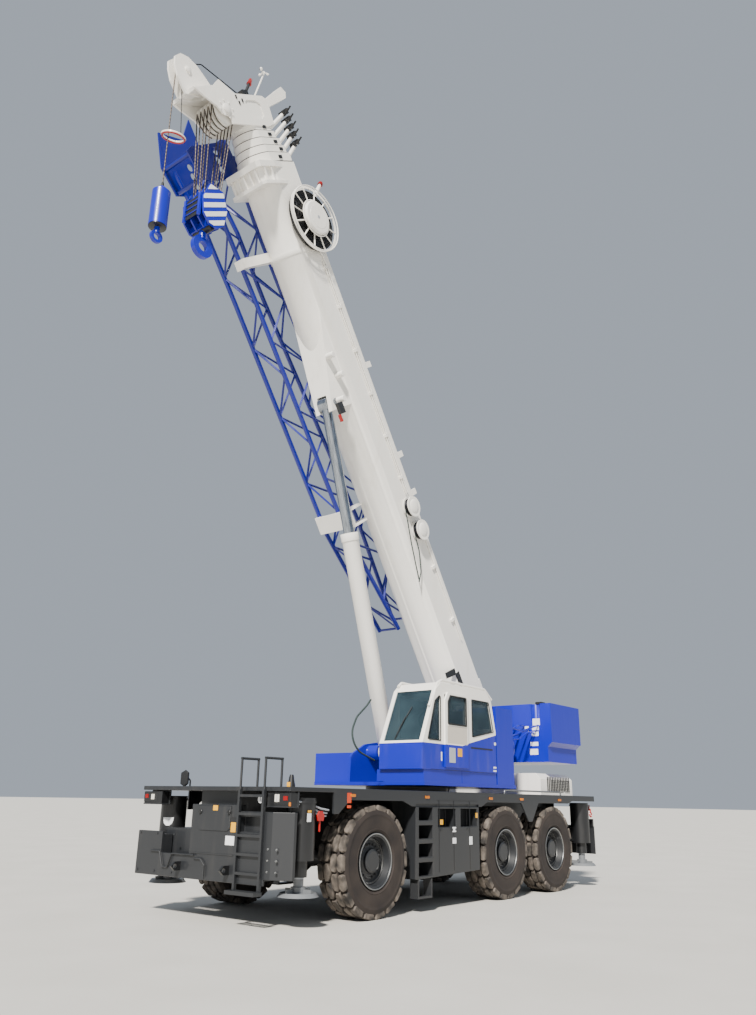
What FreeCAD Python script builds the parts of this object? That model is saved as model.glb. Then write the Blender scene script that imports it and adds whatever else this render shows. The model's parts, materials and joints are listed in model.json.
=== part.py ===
import FreeCAD, Part
import os
from math import cos, hypot, pi, radians, sin

# Three-axle rough-terrain mobile crane, in millimetres.
# +X is the carrier's front, +Y its left side, +Z up, the ground is Z = 0 and X = 0 is the slewing
# centre. At the end everything moves along X so that the origin is under the middle of the box.

V = FreeCAD.Vector

# Running clearances
gap = 6.0
pin_gap = 1.0

# Wheels, axles and steering
tyre_r = 790.0
tyre_w = 500.0
tyre_mid_y = 1350.0
tyre_lug_h = 45.0
tyre_lugs = 18
tyre_sides = 28
tyre_seat = 6.0
rim_r = 386.0
rim_dish_r = 300.0
hub_cap_r = 165.0
kingpin_y = 1000.0
kingpin_r = 55.0
axle_tube_r = 120.0
axle_bowl_r = 260.0
# name, axle's X, largest steering angle
AXLES = (("front", 2950.0, 30.0), ("mid", -905.0, 18.0), ("rear", -2830.0, 24.0))

# Carrier
frame_half = 420.0
frame_z0 = 1100.0
deck_z0 = 1740.0
deck_z1 = 1800.0
body_half = 1600.0
front_x = 4900.0
rear_x = -4800.0
skin = 30.0
eye_r = 32.0
eye_t = 40.0
eye_y = 520.0
eye_z = 700.0
eye_out = 105.0
locker_x0 = 45.0
locker_x1 = 1955.0
locker_z0 = 480.0
locker_depth = 450.0
hood_x0 = -4150.0
hood_x1 = -2700.0
hood_half = 1400.0
hood_top = 2225.0
hood_bevel = 110.0
engine_z0 = 1300.0
engine_z1 = 2015.0

# Front housing: its plate's lower edge and sill, middle box, ladder's place and the bevelled left corner
front_depth = 200.0
front_low = 540.0
front_sill = 860.0
front_end_top = 1155.0
front_top = 1550.0
front_mid_y0 = -340.0
front_mid_y1 = 620.0
front_left_y = 1200.0
front_left_top = 1470.0
plate_front_t = 40.0
lamp_w = 450.0
lamp_h = 170.0
ladder_y0 = 660.0
ladder_y1 = 1180.0
ladder_low = 420.0
rail_top = 2180.0

# Outriggers
front_box_x = 4400.0
rear_box_x = -4460.0
outrigger_box_l = 560.0
outrigger_box_end = 1160.0
beam_w = 210.0
beam_h = 300.0
beam_z0 = 870.0
beam_wall = 22.0
beam_in = 700.0
box_wall = 25.0
beam_travel = 2100.0
jack_r = 112.0
jack_y = 1385.0
jack_z0 = 640.0
casing_r = 200.0
casing_z0 = 850.0
casing_z1 = 1660.0
jack_rod_r = 70.0
jack_travel = 550.0
pad_r = 285.0
pad_h = 50.0
pad_z0 = 400.0
# name, housing's middle in X
OUTRIGGERS = (("front", front_box_x), ("rear", rear_box_x))

# Slewing ring and upper frame
ring_r = 800.0
slew_z = deck_z1 + 95.0
plate_t = 60.0
side_plate_in = 435.0
side_plate_t = 50.0
tail_x = -2910.0
counter_x = -4370.0
counter_half = 1600.0
counter_z0 = 2455.0
counter_z1 = 2850.0
counter_z2 = 3650.0
winch_x = -2300.0
winch_z = 2760.0

# Boom foot, luffing and sections
foot_x = -1828.0
foot_z = 2905.0
foot_pin_r = 70.0
boom_deg = 55.2
luff_low = -1.5
luff_high = 82.0
boom_w = 820.0
boom_h = 1023.0
boom_top = 874.0
boom_wall = 14.0
base_tip = 12100.0
collar_l = 430.0
collar_half = 450.0
collar_low = -340.0
head_out = 200.0
head_up = -490.0
head_sheave_r = 250.0
tele_travel = 9500.0
top_share = 0.65
# name, how much narrower and lower, how much narrower and lower its end collar, tip beyond the base's tip
SECTIONS = (("two", 60.0, 80.0, 20.0, 30.0, 180.0), ("three", 120.0, 160.0, 70.0, 100.0, 330.0),
            ("four", 180.0, 240.0, 120.0, 170.0, 480.0), ("five", 240.0, 320.0, 170.0, 240.0, 630.0),
            ("six", 300.0, 400.0, 220.0, 310.0, 780.0))
head_x = base_tip + SECTIONS[-1][5] + head_out
# Stub rods on the collars, which lean forward
stub_y = 240.0
stub_r = 40.0
stub_lean = 400.0
stub_up = 1450.0
# Cable reel and hose drums
reel_back = 1190.0
reel_up = 625.0
reel_r = 650.0
reel_y = 520.0
reel_spokes = 12
# along the boom, up
DRUMS = ((4970.0, 510.0), (4450.0, 535.0))
drum_r = 210.0

# Stowed jib
jib_chord_r = 46.0
jib_lace_r = 26.0
jib_bays = 14
jib_plate_t = 30.0
# along the boom, lower and upper chord's height, near and far chord's Y
JIB = ((2550.0, 120.0, 680.0, -600.0, -1100.0), (5000.0, -400.0, 740.0, -600.0, -1100.0),
       (9900.0, -530.0, 340.0, -600.0, -1100.0), (11300.0, -597.0, 304.0, -600.0, -1100.0),
       (12600.0, -660.0, 270.0, -520.0, -1250.0))
saddle_gap = 0.5

# Luffing cylinder
luff_base_x = 620.0
luff_base_z = 2495.0
luff_eye_along = 7500.0
luff_eye_up = -340.0
luff_barrel_r = 160.0
luff_barrel_len = 4150.0
luff_rod_r = 105.0
luff_pin_r = 60.0
# turn of the rod in its bracket for each degree of luffing
rod_ratio = 0.29

# Cab
cab_x0 = -790.0
cab_y0 = 580.0
cab_y1 = 1500.0
cab_z0 = 2150.0
cab_z1 = 3640.0
cab_wall = 50.0
cab_base_x = 1580.0
door_x0 = 250.0
door_x1 = 1000.0
door_t = 36.0
door_travel = 620.0

# Hook block, overhaul weight and nose sheave
block_drop = 2060.0
hook_r = 150.0
hook_bar = 55.0
hook_half = 45.0
shank_l = 150.0
nose_out = 760.0
nose_x = head_x + nose_out
nose_up = -900.0
weight_drop = 3040.0
weight_r = 150.0
nose_sheave_r = 170.0
sheave_groove = 28.0
weight_l = 680.0
weight_eye_r = 60.0
weight_eye_bar = 50.0
weight_eye_half = 28.0


def box(x0, x1, y0, y1, z0, z1):
    """Block between two corners, given in any order."""
    low = V(min(x0, x1), min(y0, y1), min(z0, z1))
    return Part.makeBox(abs(x1 - x0), abs(y1 - y0), abs(z1 - z0), low)


def face(points):
    return Part.Face(Part.makePolygon(points + [points[0]]))


def plate_xz(points, y0, y1):
    """Outline in X and Z, extruded from y0 to y1."""
    return face([V(x, y0, z) for x, z in points]).extrude(V(0, y1 - y0, 0))


def plate_xy(points, z0, z1):
    return face([V(x, y, z0) for x, y in points]).extrude(V(0, 0, z1 - z0))


def plate_yz(points, x0, x1):
    return face([V(x0, y, z) for y, z in points]).extrude(V(x1 - x0, 0, 0))


def rod(start, end, radius):
    """Round bar between two points."""
    path = V(*end) - V(*start)
    return Part.makeCylinder(radius, path.Length, V(*start), path)


def bar(start, end, radius, sides=6):
    """Bar with flat faces between two points."""
    path = V(*end) - V(*start)
    way = V(path)
    way.normalize()
    first = way.cross(V(0, 1, 0) if abs(way.y) < 0.9 else V(1, 0, 0))
    first.normalize()
    second = way.cross(first)
    turns = [2 * pi * k / sides for k in range(sides)]
    return face([V(*start) + first * (radius * cos(t)) + second * (radius * sin(t)) for t in turns]).extrude(path)


def run(points, radius, sides, overlap):
    """Bars end to end through points, each a little longer at the corners."""
    bars = []
    last = len(points) - 2
    for i in range(last + 1):
        start, end = V(*points[i]), V(*points[i + 1])
        way = end - start
        way.normalize()
        start = start - way * overlap if i > 0 else start
        end = end + way * overlap if i < last else end
        bars.append(bar(start, end, radius, sides))
    return bars


def flat_sided(sections):
    """Solid through outlines of equally many points, closed by flat triangles between each two of them."""
    faces = [face(sections[0]), face(sections[-1])]
    for one, other in zip(sections, sections[1:]):
        for k in range(len(one)):
            n = (k + 1) % len(one)
            faces.append(face([one[k], one[n], other[n]]))
            faces.append(face([one[k], other[n], other[k]]))
    return Part.makeSolid(Part.makeShell(faces))


def across(x, z, y0, y1, radius):
    """Round bar along Y."""
    return rod((x, min(y0, y1), z), (x, max(y0, y1), z), radius)


def upright(x, y, z0, z1, radius):
    return rod((x, y, z0), (x, y, z1), radius)


def turned(profile, y_dir=1.0):
    """Solid turned about the Y axis from (radius, y) points."""
    wire = Part.makePolygon([V(r, y * y_dir, 0) for r, y in profile + profile[:1]])
    return Part.Face(wire).revolve(V(0, 0, 0), V(0, 1, 0), 360)


def joined(shapes):
    """Shapes that touch or overlap, as one solid."""
    whole = shapes[0].fuse(shapes[1:]) if len(shapes) > 1 else shapes[0]
    return whole.removeSplitter()



def moved(shape, x=0.0, y=0.0, z=0.0):
    copy = shape.copy()
    copy.translate(V(x, y, z))
    return copy


def raised(shape):
    """From the boom's own frame (X along it, Z across, foot pin at 0) to the crane's frame."""
    copy = shape.copy()
    copy.rotate(V(0, 0, 0), V(0, -1, 0), boom_deg)
    copy.translate(V(foot_x, 0, foot_z))
    return copy


def boom_point(along, up, angle=None):
    """Point of the boom's own frame, in the crane's X and Z."""
    turn = radians(boom_deg if angle is None else angle)
    return (foot_x + along * cos(turn) - up * sin(turn), foot_z + along * sin(turn) + up * cos(turn))


# Running gear


def axle_beams():
    """Axle tubes with their bowls, spring seats and forked ends."""
    fork_in = kingpin_y - 100.0
    beams = []
    for name, x, lock in AXLES:
        tube = [(0, -fork_in), (axle_tube_r, -fork_in), (axle_tube_r, -300), (axle_bowl_r, -80),
                (axle_bowl_r, 80), (axle_tube_r, 300), (axle_tube_r, fork_in), (0, fork_in)]
        parts = [moved(turned(tube), x, 0, tyre_r)]
        for side in (-1, 1):
            parts.append(box(x - 90, x + 90, side * 270, side * 400, tyre_r, frame_z0))
            parts.append(box(x - 75, x + 75, side * (fork_in - 60), side * fork_in, tyre_r - 235, tyre_r + 235))
            for z in (tyre_r - 235, tyre_r + 175):
                parts.append(box(x - 75, x + 75, side * (fork_in - 60), side * (kingpin_y + 60), z, z + 60))
        beams.append(joined(parts))
    return Part.makeCompound(beams)


def knuckle(x, side):
    """Steering knuckle: kingpin barrel between the fork's arms, spindle and steering arm."""
    z_half = 175.0 - gap
    parts = [upright(x, side * kingpin_y, tyre_r - z_half, tyre_r + z_half, kingpin_r + 35)]
    parts.append(across(x, tyre_r, side * (kingpin_y + 20), side * (kingpin_y + 185), 160))
    parts.append(across(x, tyre_r, side * (kingpin_y + 180), side * (tyre_mid_y + 60), 70))
    return joined(parts)


def tread_ring(y0, y1, phase):
    """One half of the tread: a ring with tapered lugs, the first at an angle from the lowest point."""
    pitch = 2 * pi / tyre_lugs
    foot, top = 0.31 * pitch, 0.27 * pitch
    base_r = tyre_r - tyre_lug_h
    reach = tyre_r if phase == 0 else tyre_r * cos(top) / cos(pitch / 2 - top)
    points = []
    for k in range(tyre_lugs):
        middle = phase + k * pitch
        for turn, radius in ((-foot, base_r), (-top, reach / cos(top)), (top, reach / cos(top)), (foot, base_r)):
            points.append((radius * sin(middle + turn), -radius * cos(middle + turn)))
    return plate_xz(points, y0, y1)


def tyre_shape():
    """Faceted carcass with the tread's lugs round both shoulders, half a pitch apart."""
    half = tyre_w / 2
    base_r = tyre_r - tyre_lug_h
    seat_r = (rim_r + tyre_seat) / cos(pi / tyre_sides)
    profile = [(seat_r, -half + 60), (rim_r + 165, -half), (base_r - 10, -half + 25), (base_r - 10, half - 25),
               (rim_r + 165, half), (seat_r, half - 60)]
    turns = [2 * pi * k / tyre_sides for k in range(tyre_sides + 1)]
    faces = []
    for (r0, y0), (r1, y1) in zip(profile, profile[1:] + profile[:1]):
        for a, b in zip(turns, turns[1:]):
            faces.append(face([V(r0 * cos(a), y0, r0 * sin(a)), V(r1 * cos(a), y1, r1 * sin(a)),
                               V(r1 * cos(b), y1, r1 * sin(b)), V(r0 * cos(b), y0, r0 * sin(b))]))
    body = Part.makeSolid(Part.makeShell(faces))
    bore = turned([(0, -half), (base_r - 100, -half), (base_r - 100, half), (0, half)])
    shoulder = half - 16
    rings = [tread_ring(-shoulder, 0, 0).cut(bore), tread_ring(0, shoulder, pi / tyre_lugs).cut(bore)]
    return body.fuse(rings).removeSplitter()


def rim(x, side):
    """Dished rim with flanges, disc, hub and cap."""
    half = tyre_w / 2
    out = half - 30
    profile = [(70 + pin_gap, 75), (hub_cap_r, 75), (rim_dish_r - 40, 45), (rim_dish_r - 8, -half + 60),
               (rim_r, -half + 60), (rim_r, out), (rim_r - 26, out + 12), (rim_r - 42, out),
               (rim_dish_r + 18, 110), (rim_dish_r - 10, 95), (hub_cap_r + 25, 110), (hub_cap_r, 125),
               (hub_cap_r, 165), (hub_cap_r - 30, 182), (0, 182), (0, 90), (70 + pin_gap, 90)]
    return moved(turned(profile, side), x, side * tyre_mid_y, tyre_r)


# Carrier


def housing_top():
    return beam_z0 + beam_h + gap + box_wall


def chassis_frame():
    """Box frame between the outrigger housings, with the fixed race of the slewing ring."""
    rear = rear_box_x + outrigger_box_l / 2
    front = front_box_x - outrigger_box_l / 2
    spine = box(rear, front, -frame_half, frame_half, frame_z0, deck_z0)
    ends = [box(rear_x + skin, rear, -frame_half, frame_half, housing_top(), deck_z0),
            box(front, front_x - front_depth - skin, -frame_half, frame_half, housing_top(), deck_z0)]
    drops = [plate_xz([(rear, beam_z0 - 30), (rear, frame_z0), (rear + 520, frame_z0)], -frame_half, frame_half),
             plate_xz([(front, beam_z0 - 30), (front, frame_z0), (front - 160, frame_z0)], -frame_half, frame_half)]
    riser = upright(0, 0, deck_z0, deck_z1, ring_r - 60)
    race = upright(0, 0, deck_z1, slew_z - gap, ring_r)
    return joined([spine, riser, race] + ends + drops).cut(engine_well(20))


def beam_places(middle):
    """X of the beam on each side of one housing."""
    step = (beam_w + box_wall) / 2 + gap
    return ((middle - step, 1), (middle + step, -1))


def outrigger_boxes():
    """Front and rear outrigger housings, each with two tubes for the beams."""
    shells = []
    for name, middle in OUTRIGGERS:
        half = outrigger_box_l / 2
        shell = box(middle - half, middle + half, -outrigger_box_end, outrigger_box_end,
                    beam_z0 - gap - box_wall, housing_top())
        for x, side in beam_places(middle):
            shell = shell.cut(box(x - beam_w / 2 - gap, x + beam_w / 2 + gap, -side * (beam_in + 60),
                                  side * (outrigger_box_end + 1), beam_z0 - gap, beam_z0 + beam_h + gap))
        shells.append(shell)
    return Part.makeCompound(shells)


def outrigger_beam(middle, x, side):
    """Hollow sliding beam with the jack's casing on its outer end."""
    end = side * (jack_y - 20)
    y = side * jack_y
    beam = box(x - beam_w / 2, x + beam_w / 2, -side * beam_in, end, beam_z0, beam_z0 + beam_h)
    beam = beam.cut(box(x - beam_w / 2 + beam_wall, x + beam_w / 2 - beam_wall, -side * (beam_in + 1),
                        side * (jack_y - casing_r - 60), beam_z0 + beam_wall, beam_z0 + beam_h - beam_wall))
    casing = upright(middle, y, casing_z0, casing_z1, casing_r)
    collar = upright(middle, y, casing_z1 - 70, casing_z1 - 40, casing_r + 12)
    barrel = upright(middle, y, jack_z0, casing_z0 + 1, jack_r)
    cheek = box(middle - casing_r + 20, middle + casing_r - 20, side * (outrigger_box_end + gap), y,
                beam_z0 + 15, beam_z0 + beam_h - 15)
    whole = joined([beam, casing, collar, barrel, cheek])
    return whole.cut(upright(middle, y, jack_z0 - 1, casing_z1 - 60, jack_rod_r + pin_gap))


def outrigger_jack(middle, side):
    """Jack rod with its round float pad."""
    y = side * jack_y
    shaft = upright(middle, y, pad_z0 + pad_h, casing_z1 - 90, jack_rod_r)
    neck = upright(middle, y, pad_z0 + pad_h - 5, pad_z0 + pad_h + 70, jack_rod_r + 35)
    pad = Part.makeCone(pad_r, pad_r - 40, pad_h, V(middle, y, pad_z0), V(0, 0, 1))
    ribs = [box(middle - pad_r + 50, middle + pad_r - 50, y - 9, y + 9, pad_z0 + 10, pad_z0 + pad_h + 45),
            box(middle - 9, middle + 9, y - pad_r + 50, y + pad_r - 50, pad_z0 + 10, pad_z0 + pad_h + 45)]
    return joined([shaft, neck, pad] + ribs)


def front_body():
    """Front housing: stepped bumper plate, middle box, ladder's box, bevelled left corner and lamp brackets."""
    back = front_x - front_depth
    inner = front_x - plate_front_t
    end_y = body_half - 40
    plate = plate_yz([(-end_y, front_low), (front_left_y, front_low), (front_left_y, front_left_top),
                      (front_mid_y1, front_left_top), (front_mid_y1, front_top), (front_mid_y0, front_top),
                      (front_mid_y0, front_sill), (-980, front_sill), (-980, front_end_top),
                      (-end_y, front_end_top)], inner, front_x)
    parts = [plate, box(back, inner, front_mid_y0, front_mid_y1, front_low + 60, front_top)]
    parts.append(box(back, inner, front_mid_y1, front_left_y, front_low + 60, front_left_top))
    parts.append(box(back, inner, -end_y, front_mid_y0, front_low + 60, front_sill - 60))
    parts.append(box(back, inner, -end_y, -980, front_low + 60, front_end_top - 40))
    parts.append(box(front_box_x + outrigger_box_l / 2, back, -frame_half, frame_half, front_low + 60, housing_top()))
    corner = front_left_y + 130
    parts.append(plate_xy([(front_x, front_left_y - 1), (front_x, corner), (front_x - 150, body_half),
                           (back, body_half), (back, body_half - skin), (front_x - 162, body_half - skin),
                           (inner, corner - skin), (inner, front_left_y - 1)], front_low + 80, front_left_top))
    whole = joined(parts)
    whole = whole.cut(box(front_x - 110, front_x + 1, front_mid_y1 + 60, front_left_y - 60, 1200, 1400))
    solids = [whole]
    shelf = deck_z0 - lamp_h - 40
    for side in (-1, 1):
        y0, y1 = side * (body_half - 10 - lamp_w), side * (body_half - 10)
        solids.append(joined([box(back - 30, back, y0, y1, shelf, deck_z0),
                              box(back, front_x - 50, y0, y1, shelf, shelf + 20)]))
    return Part.makeCompound(solids)


def deck():
    """Deck plate with its edge band, wheel arches and the bracket between the rear wheels."""
    parts = [box(rear_x, front_x - 40, -body_half, body_half, deck_z0, deck_z1)]
    low = tyre_r * 2 + 60
    over_casing = casing_z1 + 30
    arch = [(rear_x, over_casing), (-3700, over_casing), (-3520, low), (-2200, low), (-1920, 1300), (-1780, 1300), (-1500, low),
            (-250, low), (-40, 1560), (locker_x0, 1560), (locker_x0, 1600), (locker_x1, 1600), (locker_x1, 1560),
            (2060, 1560), (2300, low), (3600, low), (3850, 1450), (3960, 1450), (3960, deck_z0), (rear_x, deck_z0)]
    for side in (-1, 1):
        parts.append(plate_xz(arch, side * (body_half - skin), side * body_half))
    whole = joined(parts)
    whole = whole.cut(upright(0, 0, deck_z0 - 1, deck_z1 + 1, ring_r - 60))
    return whole.cut(engine_well(20))


def side_lockers():
    """Side boxes between the first and second wheels, with step openings at the front."""
    boxes = []
    for side in (-1, 1):
        inner, outer = side * (body_half - skin - locker_depth), side * (body_half - skin)
        block = plate_xz([(locker_x0, locker_z0 + 60), (locker_x0, deck_z0), (locker_x1, deck_z0),
                          (locker_x1, locker_z0)], inner, outer)
        rim_plate = plate_xz([(locker_x0, locker_z0 + 60), (locker_x0, 1560), (locker_x1, 1560),
                              (locker_x1, locker_z0)], side * (body_half - skin - 1), outer + side * skin)
        block = joined([block, rim_plate])
        for z in (525, 800, 1075, 1350):
            block = block.cut(box(1480, 1870, side * (body_half - 300), side * (body_half + 1), z, z + 200))
        for x0, x1 in ((790, 1330), (110, 640)):
            block = block.cut(box(x0, x1, side * (body_half - 220), side * (body_half + 1), 1240, 1530))
        boxes.append(block)
    return Part.makeCompound(boxes)


def engine_hood():
    """Flat hood over the engine with bevelled edges and three columns of slots in both sides."""
    def outline(inset):
        half, top = hood_half - inset, hood_top - inset
        low = deck_z1 - (1 if inset else 0)
        return [(-half, low), (-half, top - hood_bevel), (-half + hood_bevel, top), (half - hood_bevel, top),
                (half, top - hood_bevel), (half, low)]
    shell = plate_yz(outline(0), hood_x0, hood_x1)
    shell = shell.cut(plate_yz(outline(skin), hood_x0 + skin, hood_x1 - skin))
    slots = []
    for column in range(3):
        x = hood_x0 + 80 + column * 310
        for row in range(8):
            z = deck_z1 + 50 + row * 33
            slots.append(box(x, x + 270, -hood_half - 1, hood_half + 1, z, z + 15))
    return shell.cut(Part.makeCompound(slots))


def engine_well(margin):
    """Space of the engine between the frame's sides, with a margin round it."""
    return box(hood_x0 + 200 - margin, hood_x1 - 250 + margin, -300 - margin, 300 + margin, engine_z0, engine_z1)


def engine_block():
    return engine_well(0)


def lamps():
    """Headlamp boxes on their brackets at the front corners and tail lamps on the rear plate."""
    back = front_x - front_depth
    shelf = deck_z0 - lamp_h - 20
    solids = []
    for side in (-1, 1):
        solids.append(box(back, front_x - 60, side * (body_half - lamp_w), side * (body_half - 20), shelf,
                          shelf + lamp_h))
        solids.append(box(rear_x, rear_x + 60, side * (body_half - 450), side * (body_half - 50), 1180, 1330))
    return Part.makeCompound(solids)


def rear_body():
    """Rear plates round the rear outrigger housing."""
    back = rear_box_x - outrigger_box_l / 2
    parts = [box(rear_x, rear_x + skin, -body_half + 40, body_half - 40, 620, 1180)]
    parts.append(box(rear_x, rear_x + skin, -frame_half - 200, frame_half + 200, 1180, deck_z0))
    parts.append(box(rear_x + skin, back, -frame_half, frame_half, 620, housing_top()))
    return joined(parts)


def ladders():
    """Front ladder with its handrails, and the steps that hang under the side boxes."""
    solids = []
    rails, low = [], ladder_low
    for y in (ladder_y0 + 20, ladder_y1 - 20):
        rails.append(box(front_x, front_x + 45, y - 20, y + 20, low, deck_z0 + 20))
        rails += run([(front_x + 22, y, deck_z0), (front_x + 22, y, rail_top), (front_x - 300, y, rail_top),
                      (front_x - 300, y, deck_z1)], 18, 6, 16)
    rungs = [box(front_x + 5, front_x + 45, ladder_y0, ladder_y1, z, z + 35) for z in (660, 900, 1140, 1420, 1660)]
    frame = box(front_x, front_x + 160, ladder_y0 - 20, ladder_y1 + 20, low, low + 50)
    frame = frame.cut(box(front_x + 45, front_x + 125, ladder_y0 + 20, ladder_y1 - 20, low - 1, low + 51))
    solids.append(joined(rails + rungs + [frame]))
    for side in (-1, 1):
        y0, y1 = side * (body_half - 160), side * (body_half - 5)
        sides = [box(x, x + 30, y0, y1, 200, locker_z0) for x in (1500, 1860)]
        tread = box(1500, 1890, y0, y1, 200, 235)
        solids.append(joined(sides + [tread]))
    return Part.makeCompound(solids)


def tow_eyes():
    """Towing eyes: plates with a round hole, in front and behind."""
    solids = []
    for x, lean in ((front_x, 1), (rear_x, -1)):
        for side in (-1, 1):
            y0, y1 = side * eye_y - eye_t / 2, side * eye_y + eye_t / 2
            tip = x + lean * (eye_out + 65)
            plate = plate_xz([(x, eye_z - 60), (x + lean * eye_out, eye_z - 60), (tip, eye_z),
                              (x + lean * eye_out, eye_z + 60), (x, eye_z + 60)], y0, y1)
            solids.append(plate.cut(across(x + lean * eye_out, eye_z, y0 - 1, y1 + 1, eye_r)))
    return Part.makeCompound(solids)


# Upper structure


def upper_frame():
    """Slewing plate, side plates with the boom foot and cylinder bosses, cab's base, platform and tank box."""
    z0, z1 = slew_z, slew_z + plate_t
    parts = [plate_xy([(-2240, -900), (-2240, 900), (-1500, 1500), (cab_base_x, 1500), (cab_base_x, 650), (1200, 650),
                       (1200, -650), (1150, -1350), (1000, -1500), (-1500, -1500)], z0, z1)]
    boss_r = luff_pin_r + 70
    outline = [(tail_x, counter_z0 - 5), (tail_x, counter_z1), (-2300, counter_z1), (foot_x - 250, foot_z + 155),
               (foot_x + 130, foot_z + 155), (-1500, 2800), (-300, 2560), (350, 2700),
               (luff_base_x + 140, luff_base_z + 145), (1137, 2450), (1180, 2400), (1200, z1), (-2200, z1),
               (-2240, counter_z0 - 5)]
    for side in (-1, 1):
        y0, y1 = side * side_plate_in, side * (side_plate_in + side_plate_t)
        front = cab_base_x - 10 if side > 0 else 1000
        parts.append(plate_xz(outline, y0, y1))
        parts.append(across(foot_x, foot_z, y0, y1, 175))
        parts.append(across(luff_base_x, luff_base_z, side * (luff_barrel_r + 15), y0, boss_r))
        parts.append(across(luff_base_x, luff_base_z, y1 - side, y1 + side * 25, boss_r))
        parts.append(box(-800, front, y1, side * 1480, z1 - 1, cab_z0))
        parts.append(box(-2230, -1990, y1, side * 920, z1 - 1, counter_z0 - 5))
    parts.append(across(foot_x, foot_z, -side_plate_in - 20, side_plate_in + 20, foot_pin_r))
    parts.append(box(-1480, -840, 620, 1480, z1 - 1, 3380))
    parts.append(box(-1480, 1000, -1480, -side_plate_in, cab_z0 - 1, 2480))
    seam = box(390, 402, 1474, 1481, z1 + 1, cab_z0 + 1)
    return joined(parts).cut(seam)


def winches():
    """Hoist winches on both sides behind the boom foot: drum, flanges and bearing plates."""
    solids = []
    for side in (-1, 1):
        x, z = winch_x, winch_z
        parts = [across(x, z, side * 520, side * 910, 190)]
        for y in (500, 880):
            parts.append(across(x, z, side * y, side * (y + 25), 290))
            parts.append(box(x - 200, x + 300, side * (y - 5), side * (y + 30), counter_z0 - 5, z + 60))
        solids.append(joined(parts))
    return Part.makeCompound(solids)


def counterweight():
    """Cast counterweight: wide upper block over a narrower lower one, with lifting recesses."""
    upper = plate_xy([(tail_x, -counter_half), (tail_x, counter_half), (counter_x + 80, counter_half),
                      (counter_x, counter_half - 80), (counter_x, -counter_half + 80),
                      (counter_x + 80, -counter_half)], counter_z1, counter_z2)
    half = counter_half - 100
    lower = plate_yz([(-counter_half, counter_z1), (-half, counter_z1 - 90), (-half, counter_z0),
                      (half, counter_z0), (half, counter_z1 - 90), (counter_half, counter_z1)],
                     counter_x + 120, tail_x)
    whole = joined([upper, lower])
    for side in (-1, 1):
        whole = whole.cut(upright(tail_x - 10, side * (counter_half - 350), counter_z2 - 350, counter_z2 + 1, 110))
    return whole


# Cab


def cab_outline(inset):
    """Side view of the cab in X and Z, inset by a wall."""
    d = inset
    return [(cab_x0 + d, cab_z0 + d), (1640 - d, cab_z0 + d), (1640 - d, 2580), (1230 - d * 1.1, cab_z1 - 130),
            (1080 - d, cab_z1 - d), (-450 + d, cab_z1 - d), (-640 + d, cab_z1 - 160), (cab_x0 + d, 2900)]


def cab_shell():
    """Hollow cab with its window and door openings cut."""
    shell = plate_xz(cab_outline(0), cab_y0, cab_y1)
    shell = shell.cut(plate_xz(cab_outline(cab_wall), cab_y0 + cab_wall, cab_y1 - cab_wall))
    for cutter in window_cutters():
        shell = shell.cut(cutter)
    return shell


def window_cutters():
    front = box(1000, 1700, cab_y0 + 80, cab_y1 - 80, 2620, 3490)
    triangle = plate_xz([(1090, 2640), (1480, 2640), (1260, 3300), (1090, 3420)], cab_y1 - 60, cab_y1 + 1)
    door = box(door_x0 + 40, door_x1 - 40, cab_y1 - 60, cab_y1 + 1, 2230, 3440)
    back_side = plate_xz([(-690, 2900), (60, 2760), (60, 3430), (-540, 3430)], cab_y1 - 60, cab_y1 + 1)
    right = box(-500, 1100, cab_y0 - 1, cab_y0 + 60, 2700, 3430)
    rear = box(cab_x0 - 1, -500, cab_y0 + 90, cab_y1 - 90, 2960, 3420)
    roof = box(0, 900, cab_y0 + 150, cab_y1 - 150, cab_z1 - 60, cab_z1 + 1)
    return [front, triangle, door, back_side, right, rear, roof]


def cab_glass():
    """Fixed panes, each filling its opening."""
    outer = plate_xz(cab_outline(18), cab_y0 + 18, cab_y1 - 18)
    inner = plate_xz(cab_outline(26), cab_y0 + 26, cab_y1 - 26)
    skin_shape = outer.cut(inner)
    front, triangle, door, back_side, right, rear, roof = window_cutters()
    panes = [skin_shape.common(c) for c in (front, triangle, back_side, right, rear, roof)]
    return Part.makeCompound([s for p in panes for s in p.Solids])


def cab_seat():
    """Operator's seat with its console on the cab floor."""
    floor = cab_z0 + cab_wall
    x, y = 180, 1040
    parts = [box(x - 180, x + 180, y - 180, y + 180, floor, floor + 260)]
    parts.append(box(x - 260, x + 270, y - 260, y + 260, floor + 260, floor + 400))
    parts.append(plate_xz([(x - 260, floor + 400), (x - 130, floor + 400), (x - 230, floor + 1050),
                           (x - 340, floor + 1050)], y - 240, y + 240))
    parts.append(box(x + 620, x + 760, y - 60, y + 60, floor, floor + 620))
    parts.append(box(x + 40, x + 740, y - 30, y + 30, floor, floor + 40))
    return joined(parts)


def cab_door():
    """Sliding door leaf outside the cab's wall, with its window cut."""
    y0 = cab_y1 + gap
    leaf = plate_xz([(door_x0, 2200), (door_x1, 2200), (door_x1, 3330), (door_x1 - 90, 3480), (door_x0, 3480)],
                    y0, y0 + door_t)
    leaf = leaf.cut(door_window(y0 - 1, y0 + door_t + 1))
    return leaf


def door_window(y0, y1):
    return plate_xz([(door_x0 + 70, 2930), (door_x1 - 90, 2930), (door_x1 - 90, 3310), (door_x1 - 160, 3420),
                     (door_x0 + 70, 3420)], y0, y1)


def door_glass():
    y0 = cab_y1 + gap + door_t / 2 - 4
    return door_window(y0, y0 + 8)


# Boom


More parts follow.
